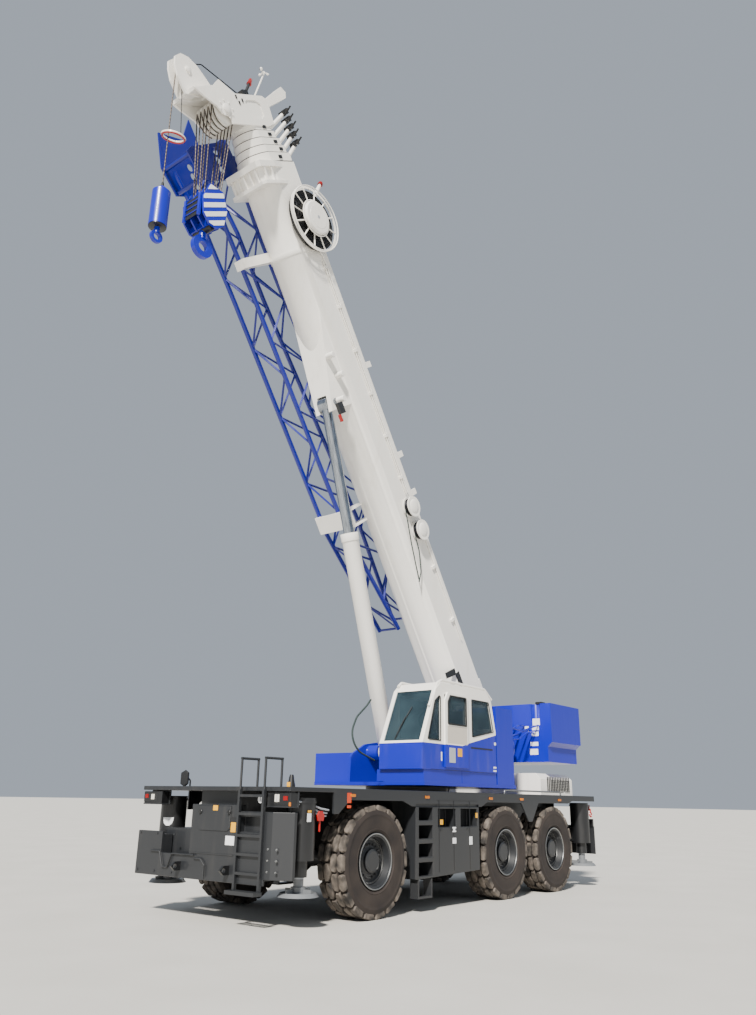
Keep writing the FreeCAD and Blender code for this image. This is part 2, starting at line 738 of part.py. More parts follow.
def section_face(narrower, lower, wall, along):
    """Boom section: flat top with rounded corners, belly of one wide arc."""
    half = (boom_w - narrower) / 2 - wall
    low = boom_top - boom_h + lower * (1 - top_share) + wall
    top = boom_top - lower * top_share - wall
    r = max(60 - wall, 20)
    belly = low + half * 0.75
    p = [V(along, half, belly), V(along, half, top - r), V(along, half - r + r * cos(pi / 4), top - r + r * sin(pi / 4)),
         V(along, half - r, top), V(along, -half + r, top),
         V(along, -half + r - r * cos(pi / 4), top - r + r * sin(pi / 4)), V(along, -half, top - r),
         V(along, -half, belly), V(along, 0, low)]
    edges = [Part.LineSegment(p[0], p[1]), Part.Arc(p[1], p[2], p[3]), Part.LineSegment(p[3], p[4]),
             Part.Arc(p[4], p[5], p[6]), Part.LineSegment(p[6], p[7]), Part.Arc(p[7], p[8], p[0])]
    return Part.Face(Part.Wire([e.toShape() for e in edges]))


def section_bar(narrower, lower, wall, x0, x1):
    return section_face(narrower, lower, wall, x0).extrude(V(x1 - x0, 0, 0))


def collar_face(inset, x0, x1):
    """Outline of the base's end collar, inset all round below the boom's shoulders."""
    half, low = collar_half - inset, collar_low + inset
    return plate_yz([(-half, 150), (-half, low + 60), (60 - half, low), (half - 60, low), (half, low + 60), (half, 150),
                     (boom_w / 2, 420), (-boom_w / 2, 420)], x0, x1)


def base_collar():
    """End collar: two flanges with a recessed ring and ribs between them."""
    rear = base_tip - collar_l
    parts = [collar_face(0, rear, rear + 60), collar_face(0, base_tip - 110, base_tip), collar_face(55, rear, base_tip)]
    for y in (-300, -150, 0, 150, 300):
        parts.append(box(rear, base_tip, y - 12, y + 12, collar_low + 8, collar_low + 120))
    for side in (-1, 1):
        for up in (-180, 20):
            parts.append(box(rear, base_tip, side * (collar_half - 100), side * (collar_half - 8), up - 12, up + 12))
    return parts


def eye_bracket():
    """Tapered box under the base section that holds the luffing cylinder's eye, and the slot in it."""
    rear, front = luff_eye_along - 150, luff_eye_along + 1700
    half = boom_w / 2
    deep = [V(rear, y, z) for y, z in ((-half, 300), (half, 300), (half / 2, luff_eye_up - 150),
                                       (-half / 2, luff_eye_up - 150))]
    thin = [V(front, y, z) for y, z in ((-half, 300), (half, 300), (half - 60, 30), (60 - half, 30))]
    slot = box(rear - 10, luff_eye_along + 165, -118, 118, luff_eye_up - 360, luff_eye_up + 160)
    return flat_sided([deep, thin]), slot


def chord_cut(row, near, radius):
    """Round bar along one lower chord of the stowed jib from a row of its table to the next."""
    y = 3 if near else 4
    start, end = JIB[row], JIB[row + 1]
    return rod((start[0], start[y], start[1]), (end[0], end[y], end[1]), radius)


def jib_holders():
    """Brackets on the base's right side that carry the jib's lower chords in saddles."""
    front = base_tip - 1680
    holder = plate_yz([(-400, 130), (-240, -70), (-430, -650), (-660, -650), (-660, -592), (-570, -592), (-540, -530)],
                      front, front + 180)
    shelf_x = 5040.0
    chord_y = (JIB[1][3], JIB[1][4])
    webs = [plate_yz([(-400, 130), (-230, -70), (-230, -500), (-640, -500), (-640, -440), (-540, -440)], x, x + 30)
            for x in (shelf_x, shelf_x + 330)]
    shelf = box(shelf_x, shelf_x + 360, chord_y[1] - 60, -230, -505, -470)
    blocks = [box(shelf_x, shelf_x + 360, y - 60, y + 60, -505, -440) for y in chord_y]
    solids = [holder.cut(chord_cut(2, True, jib_chord_r + saddle_gap))]
    rest = joined(webs + [shelf] + blocks)
    for near in (True, False):
        rest = rest.cut(chord_cut(1, near, jib_chord_r + saddle_gap))
    solids.append(rest)
    return solids


def boom_base():
    """Base section with foot, cylinder bracket, jib brackets and end collar."""
    low = boom_top - boom_h
    half = boom_w / 2
    parts = [section_bar(0, 0, 0, 0, base_tip), section_bar(0, 0, -12, base_tip - 1740, base_tip - 1660)]
    parts += base_collar()
    parts.append(plate_xz([(-150, -100), (0, low), (900, low), (900, boom_top), (250, boom_top), (-150, 380)],
                          -half, half))
    bracket, slot = eye_bracket()
    parts.append(bracket)
    parts += jib_holders()
    for x in (7960, 6020, 5190):
        parts.append(box(x - 60, x + 60, half - 40, half, boom_top - 40, boom_top + 130))
    whole = joined(parts).cut(slot)
    whole = whole.cut(section_bar(0, 0, boom_wall, 300, base_tip + 1))
    whole = whole.cut(across(0, 0, -boom_w, boom_w, foot_pin_r + pin_gap))
    whole = whole.cut(across(luff_eye_along, luff_eye_up, -boom_w, boom_w, luff_pin_r + pin_gap))
    return raised(whole)


def section_tip(index):
    """Where a section's tip is along the boom when all are drawn in; the base's for -1."""
    return base_tip if index < 0 else base_tip + SECTIONS[index][5]


def tele_section(index):
    """One telescoping section with its end collar and the stub rod on it."""
    name, narrower, lower, collar_narrower, collar_lower, step = SECTIONS[index]
    previous, tip = section_tip(index - 1), section_tip(index)
    start = 1000.0 + 90 * index
    parts = [section_bar(narrower, lower, 0, start, tip)]
    parts.append(section_bar(collar_narrower, collar_lower, 0, previous + gap, tip))
    middle = (previous + gap + tip) / 2
    top = boom_top - collar_lower * top_share
    stub = rod((middle, stub_y, top - 12), (middle + stub_lean, stub_y, stub_up), stub_r)
    if name == "six":
        return raised(boom_head(joined(parts + [stub]), tip, start, narrower, lower))
    whole = joined(parts + [stub]).cut(section_bar(narrower, lower, boom_wall, start - 1, tip + 1))
    return raised(whole)


def boom_head(body, tip, start, narrower, lower):
    """Head on the last section: side plates with recesses, main sheaves, auxiliary nose and wind gauge's mast."""
    body = body.cut(section_bar(narrower, lower, boom_wall, start - 1, tip - 200))
    rear = tip - 60
    nose_root = head_x + 320
    cheek = [(rear, -460), (head_x - 40, head_up + 70), (head_x + 310, -100), (head_x + 330, 700),
             (head_x + 260, 830), (head_x - 200, 780), (rear, 600)]
    root = [(head_x + 310, -100), (head_x + 540, -420), (head_x + 420, -620), (head_x + 340, -1150),
            (head_x + 220, -1000), (head_x + 40, -720), (head_x - 80, -640), (head_x - 180, -300)]
    arm = [(nose_root, -550), (nose_root + 220, -440), (nose_x + 100, nose_up + 290), (nose_x + 240, nose_up + 140),
           (nose_x + 290, nose_up - 30), (nose_x + 230, nose_up - 190), (nose_x + 80, nose_up - 270),
           (nose_x - 120, nose_up - 320), (nose_root, -1190), (nose_root - 30, -900)]
    recess = [(head_x - 60, 120), (head_x + 180, 120), (head_x + 220, 200), (head_x + 220, 460), (head_x + 160, 560),
              (head_x - 60, 560), (head_x - 120, 460), (head_x - 120, 200)]
    parts = [body]
    for side in (-1, 1):
        parts.append(plate_xz(cheek, side * 280, side * 315).cut(plate_xz(recess, side * 300, side * 316)))
        parts.append(plate_xz(root, side * 280, side * 315))
        parts.append(plate_xz(arm, side * 70, side * 110))
    parts.append(plate_xz([(rear, -60), (head_x + 300, -60), (head_x + 325, 690), (head_x + 255, 800),
                           (head_x - 200, 750), (rear, 590)], -285, 285))
    for i in range(5):
        parts.append(sheave(head_x, head_up, -200 + i * 100, head_sheave_r))
    parts.append(across(head_x, head_up, -325, 325, 60))
    parts.append(across(head_x + 100, head_up - 175, -330, -310, 45))
    plate = box(nose_root, nose_root + 60, -285, 285, -1120, -130)
    parts.append(plate.cut(box(nose_root - 1, nose_root + 61, -110, 110, nose_up + 20, -600)))
    parts.append(plate_xz([(head_x + 120, 780), (head_x + 280, 800), (head_x + 580, 1460), (head_x + 480, 1560),
                           (head_x + 360, 1500)], 100, 300))
    parts.append(bar((head_x + 310, 200, 560), (head_x + 895, 200, 1240), 16))
    parts.append(sheave(nose_x, nose_up, 0, nose_sheave_r))
    parts.append(across(nose_x, nose_up, -125, 125, 45))
    return joined(parts)


def sheave(x, z, y, radius):
    """Grooved rope wheel."""
    half = 30
    profile = [(0, -half), (radius, -half), (radius - sheave_groove, -9), (radius - sheave_groove, 9), (radius, half), (0, half)]
    return moved(turned(profile), x, y, z)


def jib_corner(along, top, near):
    """Point of one chord of the stowed jib."""
    row = max(i for i in range(len(JIB) - 1) if along >= JIB[i][0])
    start, end = JIB[row], JIB[row + 1]
    t = (along - start[0]) / (end[0] - start[0])
    up, y = (2 if top else 1), (3 if near else 4)
    return (along, start[y] + (end[y] - start[y]) * t, start[up] + (end[up] - start[up]) * t)


def jib():
    """Stowed lattice jib: four chords with lacing, and its two fork plates with their cross tubes."""
    start, end = JIB[0][0], JIB[-1][0]
    parts = []
    for near in (True, False):
        for top in (True, False):
            parts += run([jib_corner(row[0], top, near) for row in JIB], jib_chord_r, 8, 6)
    step = (end - start) / jib_bays
    for i in range(jib_bays):
        a, b = start + i * step, start + (i + 1) * step
        up = i % 2 == 0
        for near in (True, False):
            parts.append(bar(jib_corner(a, up, near), jib_corner(b, not up, near), jib_lace_r, 4))
        for top in (True, False):
            parts.append(bar(jib_corner(a, top, up), jib_corner(b, top, not up), jib_lace_r, 4))
    for top in (True, False):
        parts.append(bar(jib_corner(start + 20, top, True), jib_corner(start + 20, top, False), jib_lace_r, 6))
    low = JIB[-1][1]
    forks = ((JIB[-1][3], [(end + 390, 220), (end + 260, -60), (end + 160, -820), (end + 80, -970)]),
             (JIB[-1][4], [(end + 1060, 280), (end + 640, -120), (end + 760, -700), (end + 80, -970)]))
    for y, tips in forks:
        outline = [(end - 470, low + 110), (end - 470, 330)] + tips + [(end - 460, -850)]
        fork = plate_xz(outline, y - jib_plate_t / 2, y + jib_plate_t / 2)
        for k in range(3):
            fork = fork.cut(across(end - 270 + 180 * k, -190, y - 20, y + 20, 75))
        parts.append(fork)
    for along, up in ((end + 300, 200), (end + 40, -880), (end - 410, -780)):
        parts.append(bar((along, JIB[-1][3], up), (along, JIB[-1][4], up), jib_chord_r, 8))
    return raised(joined(parts))


def hose_reels():
    """Cable reel's spoked wheel and two hose drums on the boom's left side."""
    x, z = base_tip - reel_back, reel_up
    hub = across(x, z, reel_y, reel_y + 60, 190)
    cap = across(x, z, reel_y + 60, reel_y + 85, 110)
    ring = across(x, z, reel_y + 20, reel_y + 40, reel_r).cut(across(x, z, reel_y, reel_y + 60, reel_r - 45))
    spokes = []
    for k in range(reel_spokes):
        turn = 2 * pi * k / reel_spokes
        way = (cos(turn), sin(turn))
        spokes.append(bar((x + 150 * way[0], reel_y + 30, z + 150 * way[1]),
                          (x + (reel_r - 20) * way[0], reel_y + 30, z + (reel_r - 20) * way[1]), 16, 4))
    solids = [joined([hub, cap, ring] + spokes)]
    for x, z in DRUMS:
        core = across(x, z, boom_w / 2, boom_w / 2 + 160, drum_r * 0.6)
        flanges = [across(x, z, y, y + 20, drum_r) for y in (boom_w / 2 + 20, boom_w / 2 + 140)]
        solids.append(joined([core] + flanges))
    return raised(Part.makeCompound(solids))


def boom_fittings():
    """The cable reel's wound drum behind its spokes."""
    x, z = base_tip - reel_back, reel_up
    return raised(joined([across(x, z, boom_w / 2, reel_y, 330), across(x, z, reel_y - 80, reel_y - 10, reel_r - 60)]))


# Luffing cylinder


def cylinder_line():
    base = (luff_base_x, luff_base_z)
    eye = boom_point(luff_eye_along, luff_eye_up)
    length = hypot(eye[0] - base[0], eye[1] - base[1])
    return base, ((eye[0] - base[0]) / length, (eye[1] - base[1]) / length), length


def on_line(distance):
    base, way, length = cylinder_line()
    return (base[0] + way[0] * distance, 0.0, base[1] + way[1] * distance)


def luff_barrel():
    parts = [rod(on_line(150), on_line(luff_barrel_len), luff_barrel_r),
             rod(on_line(luff_barrel_len - 130), on_line(luff_barrel_len + 20), luff_barrel_r + 15)]
    parts.append(across(luff_base_x, luff_base_z, -110, 110, 165))
    whole = joined(parts)
    whole = whole.cut(rod(on_line(320), on_line(luff_barrel_len + 30), luff_rod_r + pin_gap))
    return whole.cut(across(luff_base_x, luff_base_z, -120, 120, luff_pin_r + pin_gap))


def luff_rod():
    base, way, length = cylinder_line()
    eye = on_line(length)
    parts = [rod(on_line(length - 4500), on_line(length - 40), luff_rod_r)]
    parts.append(across(eye[0], eye[2], -110, 110, 145))
    whole = joined(parts)
    whole = whole.cut(across(eye[0], eye[2], -120, 120, luff_pin_r - 1))
    pin = across(eye[0], eye[2], -262, 262, luff_pin_r)
    return joined([whole, pin])


# Hook block and overhaul weight


def hook_block():
    x, z = boom_point(head_x, head_up)
    top = z - block_drop
    parts = []
    cheek = [(x - 150, top + 330), (x + 150, top + 330), (x + 275, top), (x + 230, top - 330), (x + 90, top - 470),
             (x - 90, top - 470), (x - 230, top - 330), (x - 275, top)]
    for y in (-270, -90, 90, 230):
        parts.append(plate_xz(cheek, y, y + 35))
    for i in range(4):
        parts.append(across(x, top, -200 + i * 130, -150 + i * 130, 230))
    parts.append(across(x, top, -270, 265, 60))
    parts.append(box(x - 90, x + 90, -270, 265, top - 460, top - 330))
    return joined(parts)


def hook_middle_z():
    """Height of the middle of the hook's opening."""
    return boom_point(head_x, head_up)[1] - block_drop - 470 - gap - shank_l - hook_r


def hook():
    """Swivelling hook below the block, closed by its catch."""
    x = boom_point(head_x, head_up)[0]
    middle = hook_middle_z()
    shank = upright(x, 0, middle + hook_r, middle + hook_r + shank_l, 70)
    ring = across(x, middle, -hook_half, hook_half, hook_r + hook_bar)
    ring = ring.cut(across(x, middle, -hook_half - 1, hook_half + 1, hook_r - hook_bar))
    return joined([shank, ring])


def weight_x():
    """The overhaul weight hangs under the front of the nose sheave's groove."""
    return boom_point(nose_x, nose_up)[0] + nose_sheave_r - sheave_groove


def weight_top_z():
    return boom_point(nose_x, nose_up)[1] - weight_drop + weight_l / 2


def weight_eye_z():
    return weight_top_z() - weight_l - 110 - weight_eye_r - weight_eye_bar / 2


def overhaul_weight():
    """Round weight on the single line, with its small hook's eye."""
    x, top = weight_x(), weight_top_z()
    body = upright(x, 0, top - weight_l, top, weight_r)
    neck = Part.makeCone(weight_r, 45, 110, V(x, 0, top), V(0, 0, 1))
    shank = upright(x, 0, weight_eye_z() + weight_eye_r + 10, top - weight_l + 1, 45)
    ring = across(x, weight_eye_z(), -weight_eye_half, weight_eye_half, weight_eye_r + weight_eye_bar)
    whole = joined([body, neck, shank, ring])
    return whole.cut(across(x, weight_eye_z(), -weight_r, weight_r, weight_eye_r))


# Part list


def build():
    """Every node's solid by name, in the crane's own frame."""
    nodes = {"chassis_frame": chassis_frame(), "axle_beams": axle_beams(), "outrigger_boxes": outrigger_boxes(),
             "front_body": front_body(), "rear_body": rear_body(), "deck": deck(), "side_lockers": side_lockers(),
             "engine_hood": engine_hood(), "engine_block": engine_block(), "lamps": lamps(), "ladders": ladders(),
             "tow_eyes": tow_eyes()}
    one_tyre = tyre_shape()
    for name, x, lock in AXLES:
        for tag, side in (("left", 1), ("right", -1)):
            nodes["knuckle_%s_%s" % (name, tag)] = knuckle(x, side)
            nodes["tyre_%s_%s" % (name, tag)] = moved(one_tyre, x, side * tyre_mid_y, tyre_r)
            nodes["rim_%s_%s" % (name, tag)] = rim(x, side)
    for name, middle in OUTRIGGERS:
        for x, side in beam_places(middle):
            tag = "left" if side > 0 else "right"
            nodes["outrigger_beam_%s_%s" % (name, tag)] = outrigger_beam(middle, x, side)
            nodes["outrigger_jack_%s_%s" % (name, tag)] = outrigger_jack(middle, side)
    nodes.update({"upper_frame": upper_frame(), "winches": winches(), "counterweight": counterweight(),
                  "cab_shell": cab_shell(), "cab_glass": cab_glass(), "cab_seat": cab_seat(),
                  "cab_door": cab_door(), "door_glass": door_glass(), "boom_base": boom_base(), "jib": jib(),
                  "hose_reels": hose_reels(), "boom_fittings": boom_fittings(), "luff_barrel": luff_barrel(), "luff_rod": luff_rod(),
                  "hook_block": hook_block(), "hook": hook(), "overhaul_weight": overhaul_weight()})
    for index, row in enumerate(SECTIONS):
        nodes["boom_section_%s" % row[0]] = tele_section(index)
    return nodes


def middle_x(nodes):
    """X of the middle of the box round everything."""
    boxes = [shape.optimalBoundingBox(False) for shape in nodes.values()]
    return (min(b.XMin for b in boxes) + max(b.XMax for b in boxes)) / 2


NODES = build()
SHIFT = -middle_x(NODES)
os.makedirs("parts", exist_ok=True)
for node, shape in NODES.items():
    moved(shape, SHIFT).exportStep("parts/%s.step" % node)
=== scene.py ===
"""Looks of a three-axle mobile crane: paint, rubber, glass and steel, ropes, pipes and small fittings."""

import json
import math

import bmesh
import bpy
from mathutils import Matrix, Vector


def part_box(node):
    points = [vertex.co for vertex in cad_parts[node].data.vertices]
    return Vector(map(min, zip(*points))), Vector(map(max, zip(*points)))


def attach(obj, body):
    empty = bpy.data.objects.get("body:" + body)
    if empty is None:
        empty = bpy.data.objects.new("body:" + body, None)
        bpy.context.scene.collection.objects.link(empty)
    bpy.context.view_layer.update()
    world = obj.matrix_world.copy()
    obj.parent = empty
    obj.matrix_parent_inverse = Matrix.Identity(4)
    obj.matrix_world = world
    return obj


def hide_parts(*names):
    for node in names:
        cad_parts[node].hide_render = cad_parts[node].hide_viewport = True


bl_info = {
    "name": "Mobile crane dressing",
    "version": (1, 0, 0),
    "blender": (4, 5, 0),
    "location": "View3D > Sidebar > Crane",
    "description": "Finishes the crane's solids and adds its ropes, pipes and fittings",
    "category": "Object",
}

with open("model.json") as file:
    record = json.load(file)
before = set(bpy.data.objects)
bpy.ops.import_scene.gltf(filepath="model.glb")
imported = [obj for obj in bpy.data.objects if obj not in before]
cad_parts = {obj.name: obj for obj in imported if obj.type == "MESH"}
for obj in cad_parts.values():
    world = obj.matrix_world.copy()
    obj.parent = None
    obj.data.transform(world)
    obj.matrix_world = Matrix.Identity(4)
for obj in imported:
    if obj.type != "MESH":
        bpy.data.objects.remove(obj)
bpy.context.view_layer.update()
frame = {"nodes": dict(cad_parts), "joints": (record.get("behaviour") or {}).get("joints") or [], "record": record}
NODES = frame["nodes"]
JOINTS = {joint["name"]: joint for joint in frame["joints"] if "pos_m" in joint}
SLOTS = {row["node"]: row["material_slot"] for row in frame["record"]["subparts"]}

# The crane's own frame: X = 0 at the slewing centre, and the boom's frame from its foot pin
SLEW_X = JOINTS["slew"]["pos_m"][0]
FOOT = Vector(JOINTS["boom_luff"]["pos_m"])
ALONG = Vector(next(j["axis"] for j in frame["joints"] if j["name"] == "extend_section_two")).normalized()
UP = Vector((-ALONG.z, 0, ALONG.x))

# Angle between faces that reads as an edge, and how the round and flat fittings are drawn
CREASE = 35
TUBE_SIDES = 10
LABEL_SUNK, LABEL_EDGE = 0.002, 0.002

WHEELS = ("front_left", "front_right", "mid_left", "mid_right", "rear_left", "rear_right")
TYRE_R = 0.79
LUGS = 18
PAINTS = {}
TREES = {}


def at(x, y, z):
    """Point given from the slewing centre on the ground."""
    return Vector((x + SLEW_X, y, z))


def boom_at(along, y, up):
    """Point given along the boom from its foot pin."""
    return FOOT + ALONG * along + UP * up + Vector((0, y, 0))


# Node trees


def node(tree, kind, links=(), **settings):
    """Adds a node: settings are its properties, or values of inputs named with their spaces as underscores."""
    made = tree.nodes.new(kind)
    for name, value in settings.items():
        if hasattr(made, name):
            setattr(made, name, value)
        else:
            made.inputs[name.replace("_", " ")].default_value = value
    for socket, source in links:
        tree.links.new(source, made.inputs[socket])
    return made


def linear(hex_colour, alpha=1.0):
    """sRGB hex to the linear values that the shader takes."""
    parts = [int(hex_colour[i:i + 2], 16) / 255 for i in (1, 3, 5)]
    return tuple(c / 12.92 if c <= 0.04045 else ((c + 0.055) / 1.055) ** 2.4 for c in parts) + (alpha,)


def surface(name, roughness, metallic=0.0, **settings):
    """Material with one shader, and the object's own coordinates to draw patterns on."""
    material = bpy.data.materials.new(name)
    material.use_nodes = True
    tree = material.node_tree
    tree.nodes.clear()
    shader = node(tree, "ShaderNodeBsdfPrincipled", Roughness=roughness, Metallic=metallic, **settings)
    node(tree, "ShaderNodeOutputMaterial", links=[("Surface", shader.outputs[0])])
    place = node(tree, "ShaderNodeTexCoord").outputs["Object"]
    return material, tree, shader, place


def blend_colours(tree, factor, first, second):
    mix = node(tree, "ShaderNodeMix", data_type="RGBA")
    tree.links.new(factor, mix.inputs[0])
    for socket, colour in ((6, first), (7, second)):
        if isinstance(colour, str):
            mix.inputs[socket].default_value = linear(colour)
        else:
            tree.links.new(colour, mix.inputs[socket])
    return mix.outputs[2]


def maths(tree, operation, first, second=None):
    made = node(tree, "ShaderNodeMath", operation=operation)
    for socket, value in ((0, first), (1, second)):
        if isinstance(value, (int, float)):
            made.inputs[socket].default_value = value
        elif value is not None:
            tree.links.new(value, made.inputs[socket])
    return made.outputs[0]


def ramp(tree, source, low, high, low_out=0.0, high_out=1.0):
    """Source as low_out below low and high_out above high."""
    made = node(tree, "ShaderNodeMapRange", links=[(0, source)], clamp=True)
    for socket, value in enumerate((low, high, low_out, high_out), 1):
        made.inputs[socket].default_value = value
    return made.outputs[0]


def noise(tree, place, size, detail=3.0, stretch=None):
    """Noise whose grain is about size metres, drawn out along an axis where stretch says so."""
    if stretch:
        place = node(tree, "ShaderNodeMapping", links=[(0, place)], Scale=stretch).outputs[0]
    return node(tree, "ShaderNodeTexNoise", links=[("Vector", place)], Scale=1 / size, Detail=detail).outputs[0]


def bump(tree, shader, height, depth, strength=1.0):
    made = node(tree, "ShaderNodeBump", links=[("Height", height)], Distance=depth, Strength=strength)
    tree.links.new(made.outputs[0], shader.inputs["Normal"])


# Materials


def sprayed_enamel(name, colour, dust, wear=0.25, roughness=0.32, paint=None):
    """Two-pack enamel sprayed on steel: glossy, faintly orange-peeled, duller where dust and rain have dried."""
    material, tree, shader, place = surface(name, roughness, Coat_Weight=0.25, Coat_Roughness=0.12)
    patches = ramp(tree, noise(tree, place, 0.9, 5.0), 0.42, 0.72)
    streaks = ramp(tree, noise(tree, place, 0.12, 4.0, (1.0, 1.0, 0.12)), 0.5, 0.8)
    soiled = maths(tree, "MULTIPLY", patches, streaks)
    base = paint(tree, place) if paint else colour
    tree.links.new(blend_colours(tree, maths(tree, "MULTIPLY", soiled, wear), base, dust), shader.inputs["Base Color"])
    tree.links.new(ramp(tree, soiled, 0, 1, roughness, min(1.0, roughness + 0.3)), shader.inputs["Roughness"])
    bump(tree, shader, noise(tree, place, 0.02, 2.0), 0.0006, 0.25)
    return material


def moulded_rubber(name, colour, dust, share=0.5, grain=0.35):
    """Vulcanised tyre rubber: matt, with pale road dust in a fine grain."""
    material, tree, shader, place = surface(name, 0.82)
    dusty = ramp(tree, noise(tree, place, grain, 6.0), 0.35, 0.75)
    amount = maths(tree, "MULTIPLY", dusty, share)
    tree.links.new(blend_colours(tree, amount, colour, dust), shader.inputs["Base Color"])
    bump(tree, shader, noise(tree, place, 0.006, 4.0), 0.002, 0.5)
    return material


def bare_steel(name, colour, roughness, shade="#8C8F94", stretch=None):
    """Ground or drawn steel: metallic, with a fine grain, drawn out along the way it was turned or pulled."""
    material, tree, shader, place = surface(name, roughness, 1.0)
    tone = ramp(tree, noise(tree, place, 0.08, 3.0, stretch), 0.3, 0.8)
    tree.links.new(blend_colours(tree, tone, colour, shade), shader.inputs["Base Color"])
    bump(tree, shader, noise(tree, place, 0.004, 2.0, stretch), 0.0004, 0.3)
    return material


def tinted_glass(name, colour, film_colour, alpha):
    """Toughened glass: smooth, greenish, with a thin film of dust."""
    material, tree, shader, place = surface(name, 0.06, IOR=1.5, Alpha=alpha)
    film = ramp(tree, noise(tree, place, 0.6, 2.0), 0.3, 0.8)
    tree.links.new(blend_colours(tree, film, colour, film_colour), shader.inputs["Base Color"])
    return material


def laid_wire(name, colour, shade):
    """Laid wire rope, greased: strands wind round it every 60 mm, drawn twice as coarse so that they show."""
    material, tree, shader, place = surface(name, 0.5, 0.6)
    lay = node(tree, "ShaderNodeTexWave", links=[("Vector", place)], bands_direction="DIAGONAL",
               Scale=8.0, Distortion=0.4, Detail=1.0).outputs[1]
    tree.links.new(blend_colours(tree, lay, colour, shade), shader.inputs["Base Color"])
    bump(tree, shader, lay, 0.002, 0.6)
    return material


WHITE = "#F6F3EC"
BLUE = "#0A16A8"
WAIST_Z = 2.58
WAIST_X = 0.46
WAIST_RISE = 0.213
# Top of the jacks' floats and their sockets
FLOAT_TOP = 0.62


def cab_colours(tree, place):
    """White above the waist line, which climbs behind the door, and blue below it."""
    apart = node(tree, "ShaderNodeSeparateXYZ", links=[(0, place)]).outputs
    behind = maths(tree, "MAXIMUM", maths(tree, "SUBTRACT", WAIST_X + SLEW_X, apart[0]), 0.0)
    waist = maths(tree, "ADD", maths(tree, "MULTIPLY", behind, WAIST_RISE), WAIST_Z)
    over = maths(tree, "GREATER_THAN", apart[2], waist)
    return blend_colours(tree, over, BLUE, WHITE)


def door_colours(tree, place):
    """The door's cream inner panel between its window and the waist, inside a white margin."""
    apart = node(tree, "ShaderNodeSeparateXYZ", links=[(0, place)]).outputs
    low = maths(tree, "GREATER_THAN", apart[2], WAIST_Z + 0.02)
    high = maths(tree, "LESS_THAN", apart[2], 2.90)
    front = maths(tree, "LESS_THAN", apart[0], SLEW_X + 0.93)
    back = maths(tree, "GREATER_THAN", apart[0], SLEW_X + 0.29)
    inside = maths(tree, "MULTIPLY", maths(tree, "MULTIPLY", low, high), maths(tree, "MULTIPLY", front, back))
    return blend_colours(tree, inside, cab_colours(tree, place), "#CBC3B6")


def jack_colours(tree, place):
    """Chromed ram between its dark casing and its scuffed float."""
    height = node(tree, "ShaderNodeSeparateXYZ", links=[(0, place)]).outputs[2]
    return blend_colours(tree, maths(tree, "GREATER_THAN", height, FLOAT_TOP), "#6E7174", "#A8ADB3")


def make_paints():
    PAINTS.update({
        "white_paint": sprayed_enamel("white_enamel", WHITE, "#B7AC98", 0.3),
        "blue_paint": sprayed_enamel("blue_enamel", BLUE, "#3A48A0", 0.15),
        "deep_blue": sprayed_enamel("lattice_blue_enamel", "#0A1684", "#2C3A86", 0.15),
        "grey_paint": sprayed_enamel("grey_chassis_enamel", "#1F2124", "#55514C", 0.35, 0.5),
        "black_paint": sprayed_enamel("black_chassis_enamel", "#131416", "#3A3733", 0.4, 0.45),
        "red_paint": sprayed_enamel("red_enamel", "#A40F0A", "#6E2A20", 0.2),
        "amber_paint": sprayed_enamel("orange_enamel", "#CC3E08", "#84482A", 0.2),
        "cast_steel": sprayed_enamel("painted_casting", "#232426", "#5B544A", 0.6, 0.6),
        "jack": sprayed_enamel("scuffed_float_enamel", "#6E7174", "#A39C90", 0.6, 0.4, jack_colours),
        "bright_steel": bare_steel("hard_chrome", "#B9C0C9", 0.2, "#5E6670", (1.0, 8.0, 0.2)),
        "worn_steel": bare_steel("worn_flange_steel", "#A9A9A6", 0.38),
        "tyre_rubber": moulded_rubber("moulded_sidewall", "#211B19", "#4A3F37", 0.4),
        "dusty_rubber": moulded_rubber("dusty_tread", "#262321", "#8F8377", 0.7, 0.16),
        "seal_rubber": moulded_rubber("extruded_seal", "#141516", "#3A3A38", 0.3),
        "glass": tinted_glass("toughened_cab_glass", "#1E2F38", "#3A5058", 0.62),
        "lamp_lens": tinted_glass("moulded_lamp_lens", "#F2EFE6", "#D9D5CA", 0.9),
        "amber_lens": tinted_glass("amber_lamp_lens", "#D87A08", "#A86008", 0.95),
        "red_lens": tinted_glass("red_lamp_lens", "#98100E", "#700C0C", 0.95),
        "yellow_vinyl": sprayed_enamel("yellow_vinyl", "#E8A800", "#B08A20", 0.2, 0.4),
        "white_vinyl": sprayed_enamel("white_vinyl", "#EDEEF0", "#C4C2BC", 0.2, 0.4),
        "grey_vinyl": sprayed_enamel("grey_vinyl", "#A9ADB4", "#8C8C8A", 0.2, 0.45),
        "black_cloth": moulded_rubber("woven_seat_cloth", "#1B1C20", "#3A3B40", 0.3, 0.05),
        "wire_rope": laid_wire("greased_wire_rope", "#5C5148", "#2B2622"),
        "dark_rope": laid_wire("dark_wire_rope", "#1E2026", "#0E0F12"),
        "hose_rubber": moulded_rubber("braided_hose_cover", "#23312F", "#4C5754", 0.4, 0.05),
        "cab": sprayed_enamel("two_colour_cab_enamel", WHITE, "#B7AC98", 0.12, 0.3, cab_colours),
        "door": sprayed_enamel("two_colour_door_enamel", WHITE, "#B7AC98", 0.12, 0.3, door_colours),
    })


NODE_PAINT = {"cab_shell": "cab", "cab_door": "door", "jib": "deep_blue", "lamps": "black_paint",
              "tow_eyes": "black_paint"}
EASED = {"cab_shell": 0.014, "counterweight": 0.03, "engine_hood": 0.02, "upper_frame": 0.012, "boom_base": 0.012,
         "front_body": 0.008, "side_lockers": 0.01, "deck": 0.006, "luff_barrel": 0.006, "hook_block": 0.006,
         "cab_seat": 0.03, "cab_door": 0.006}


# Shapes


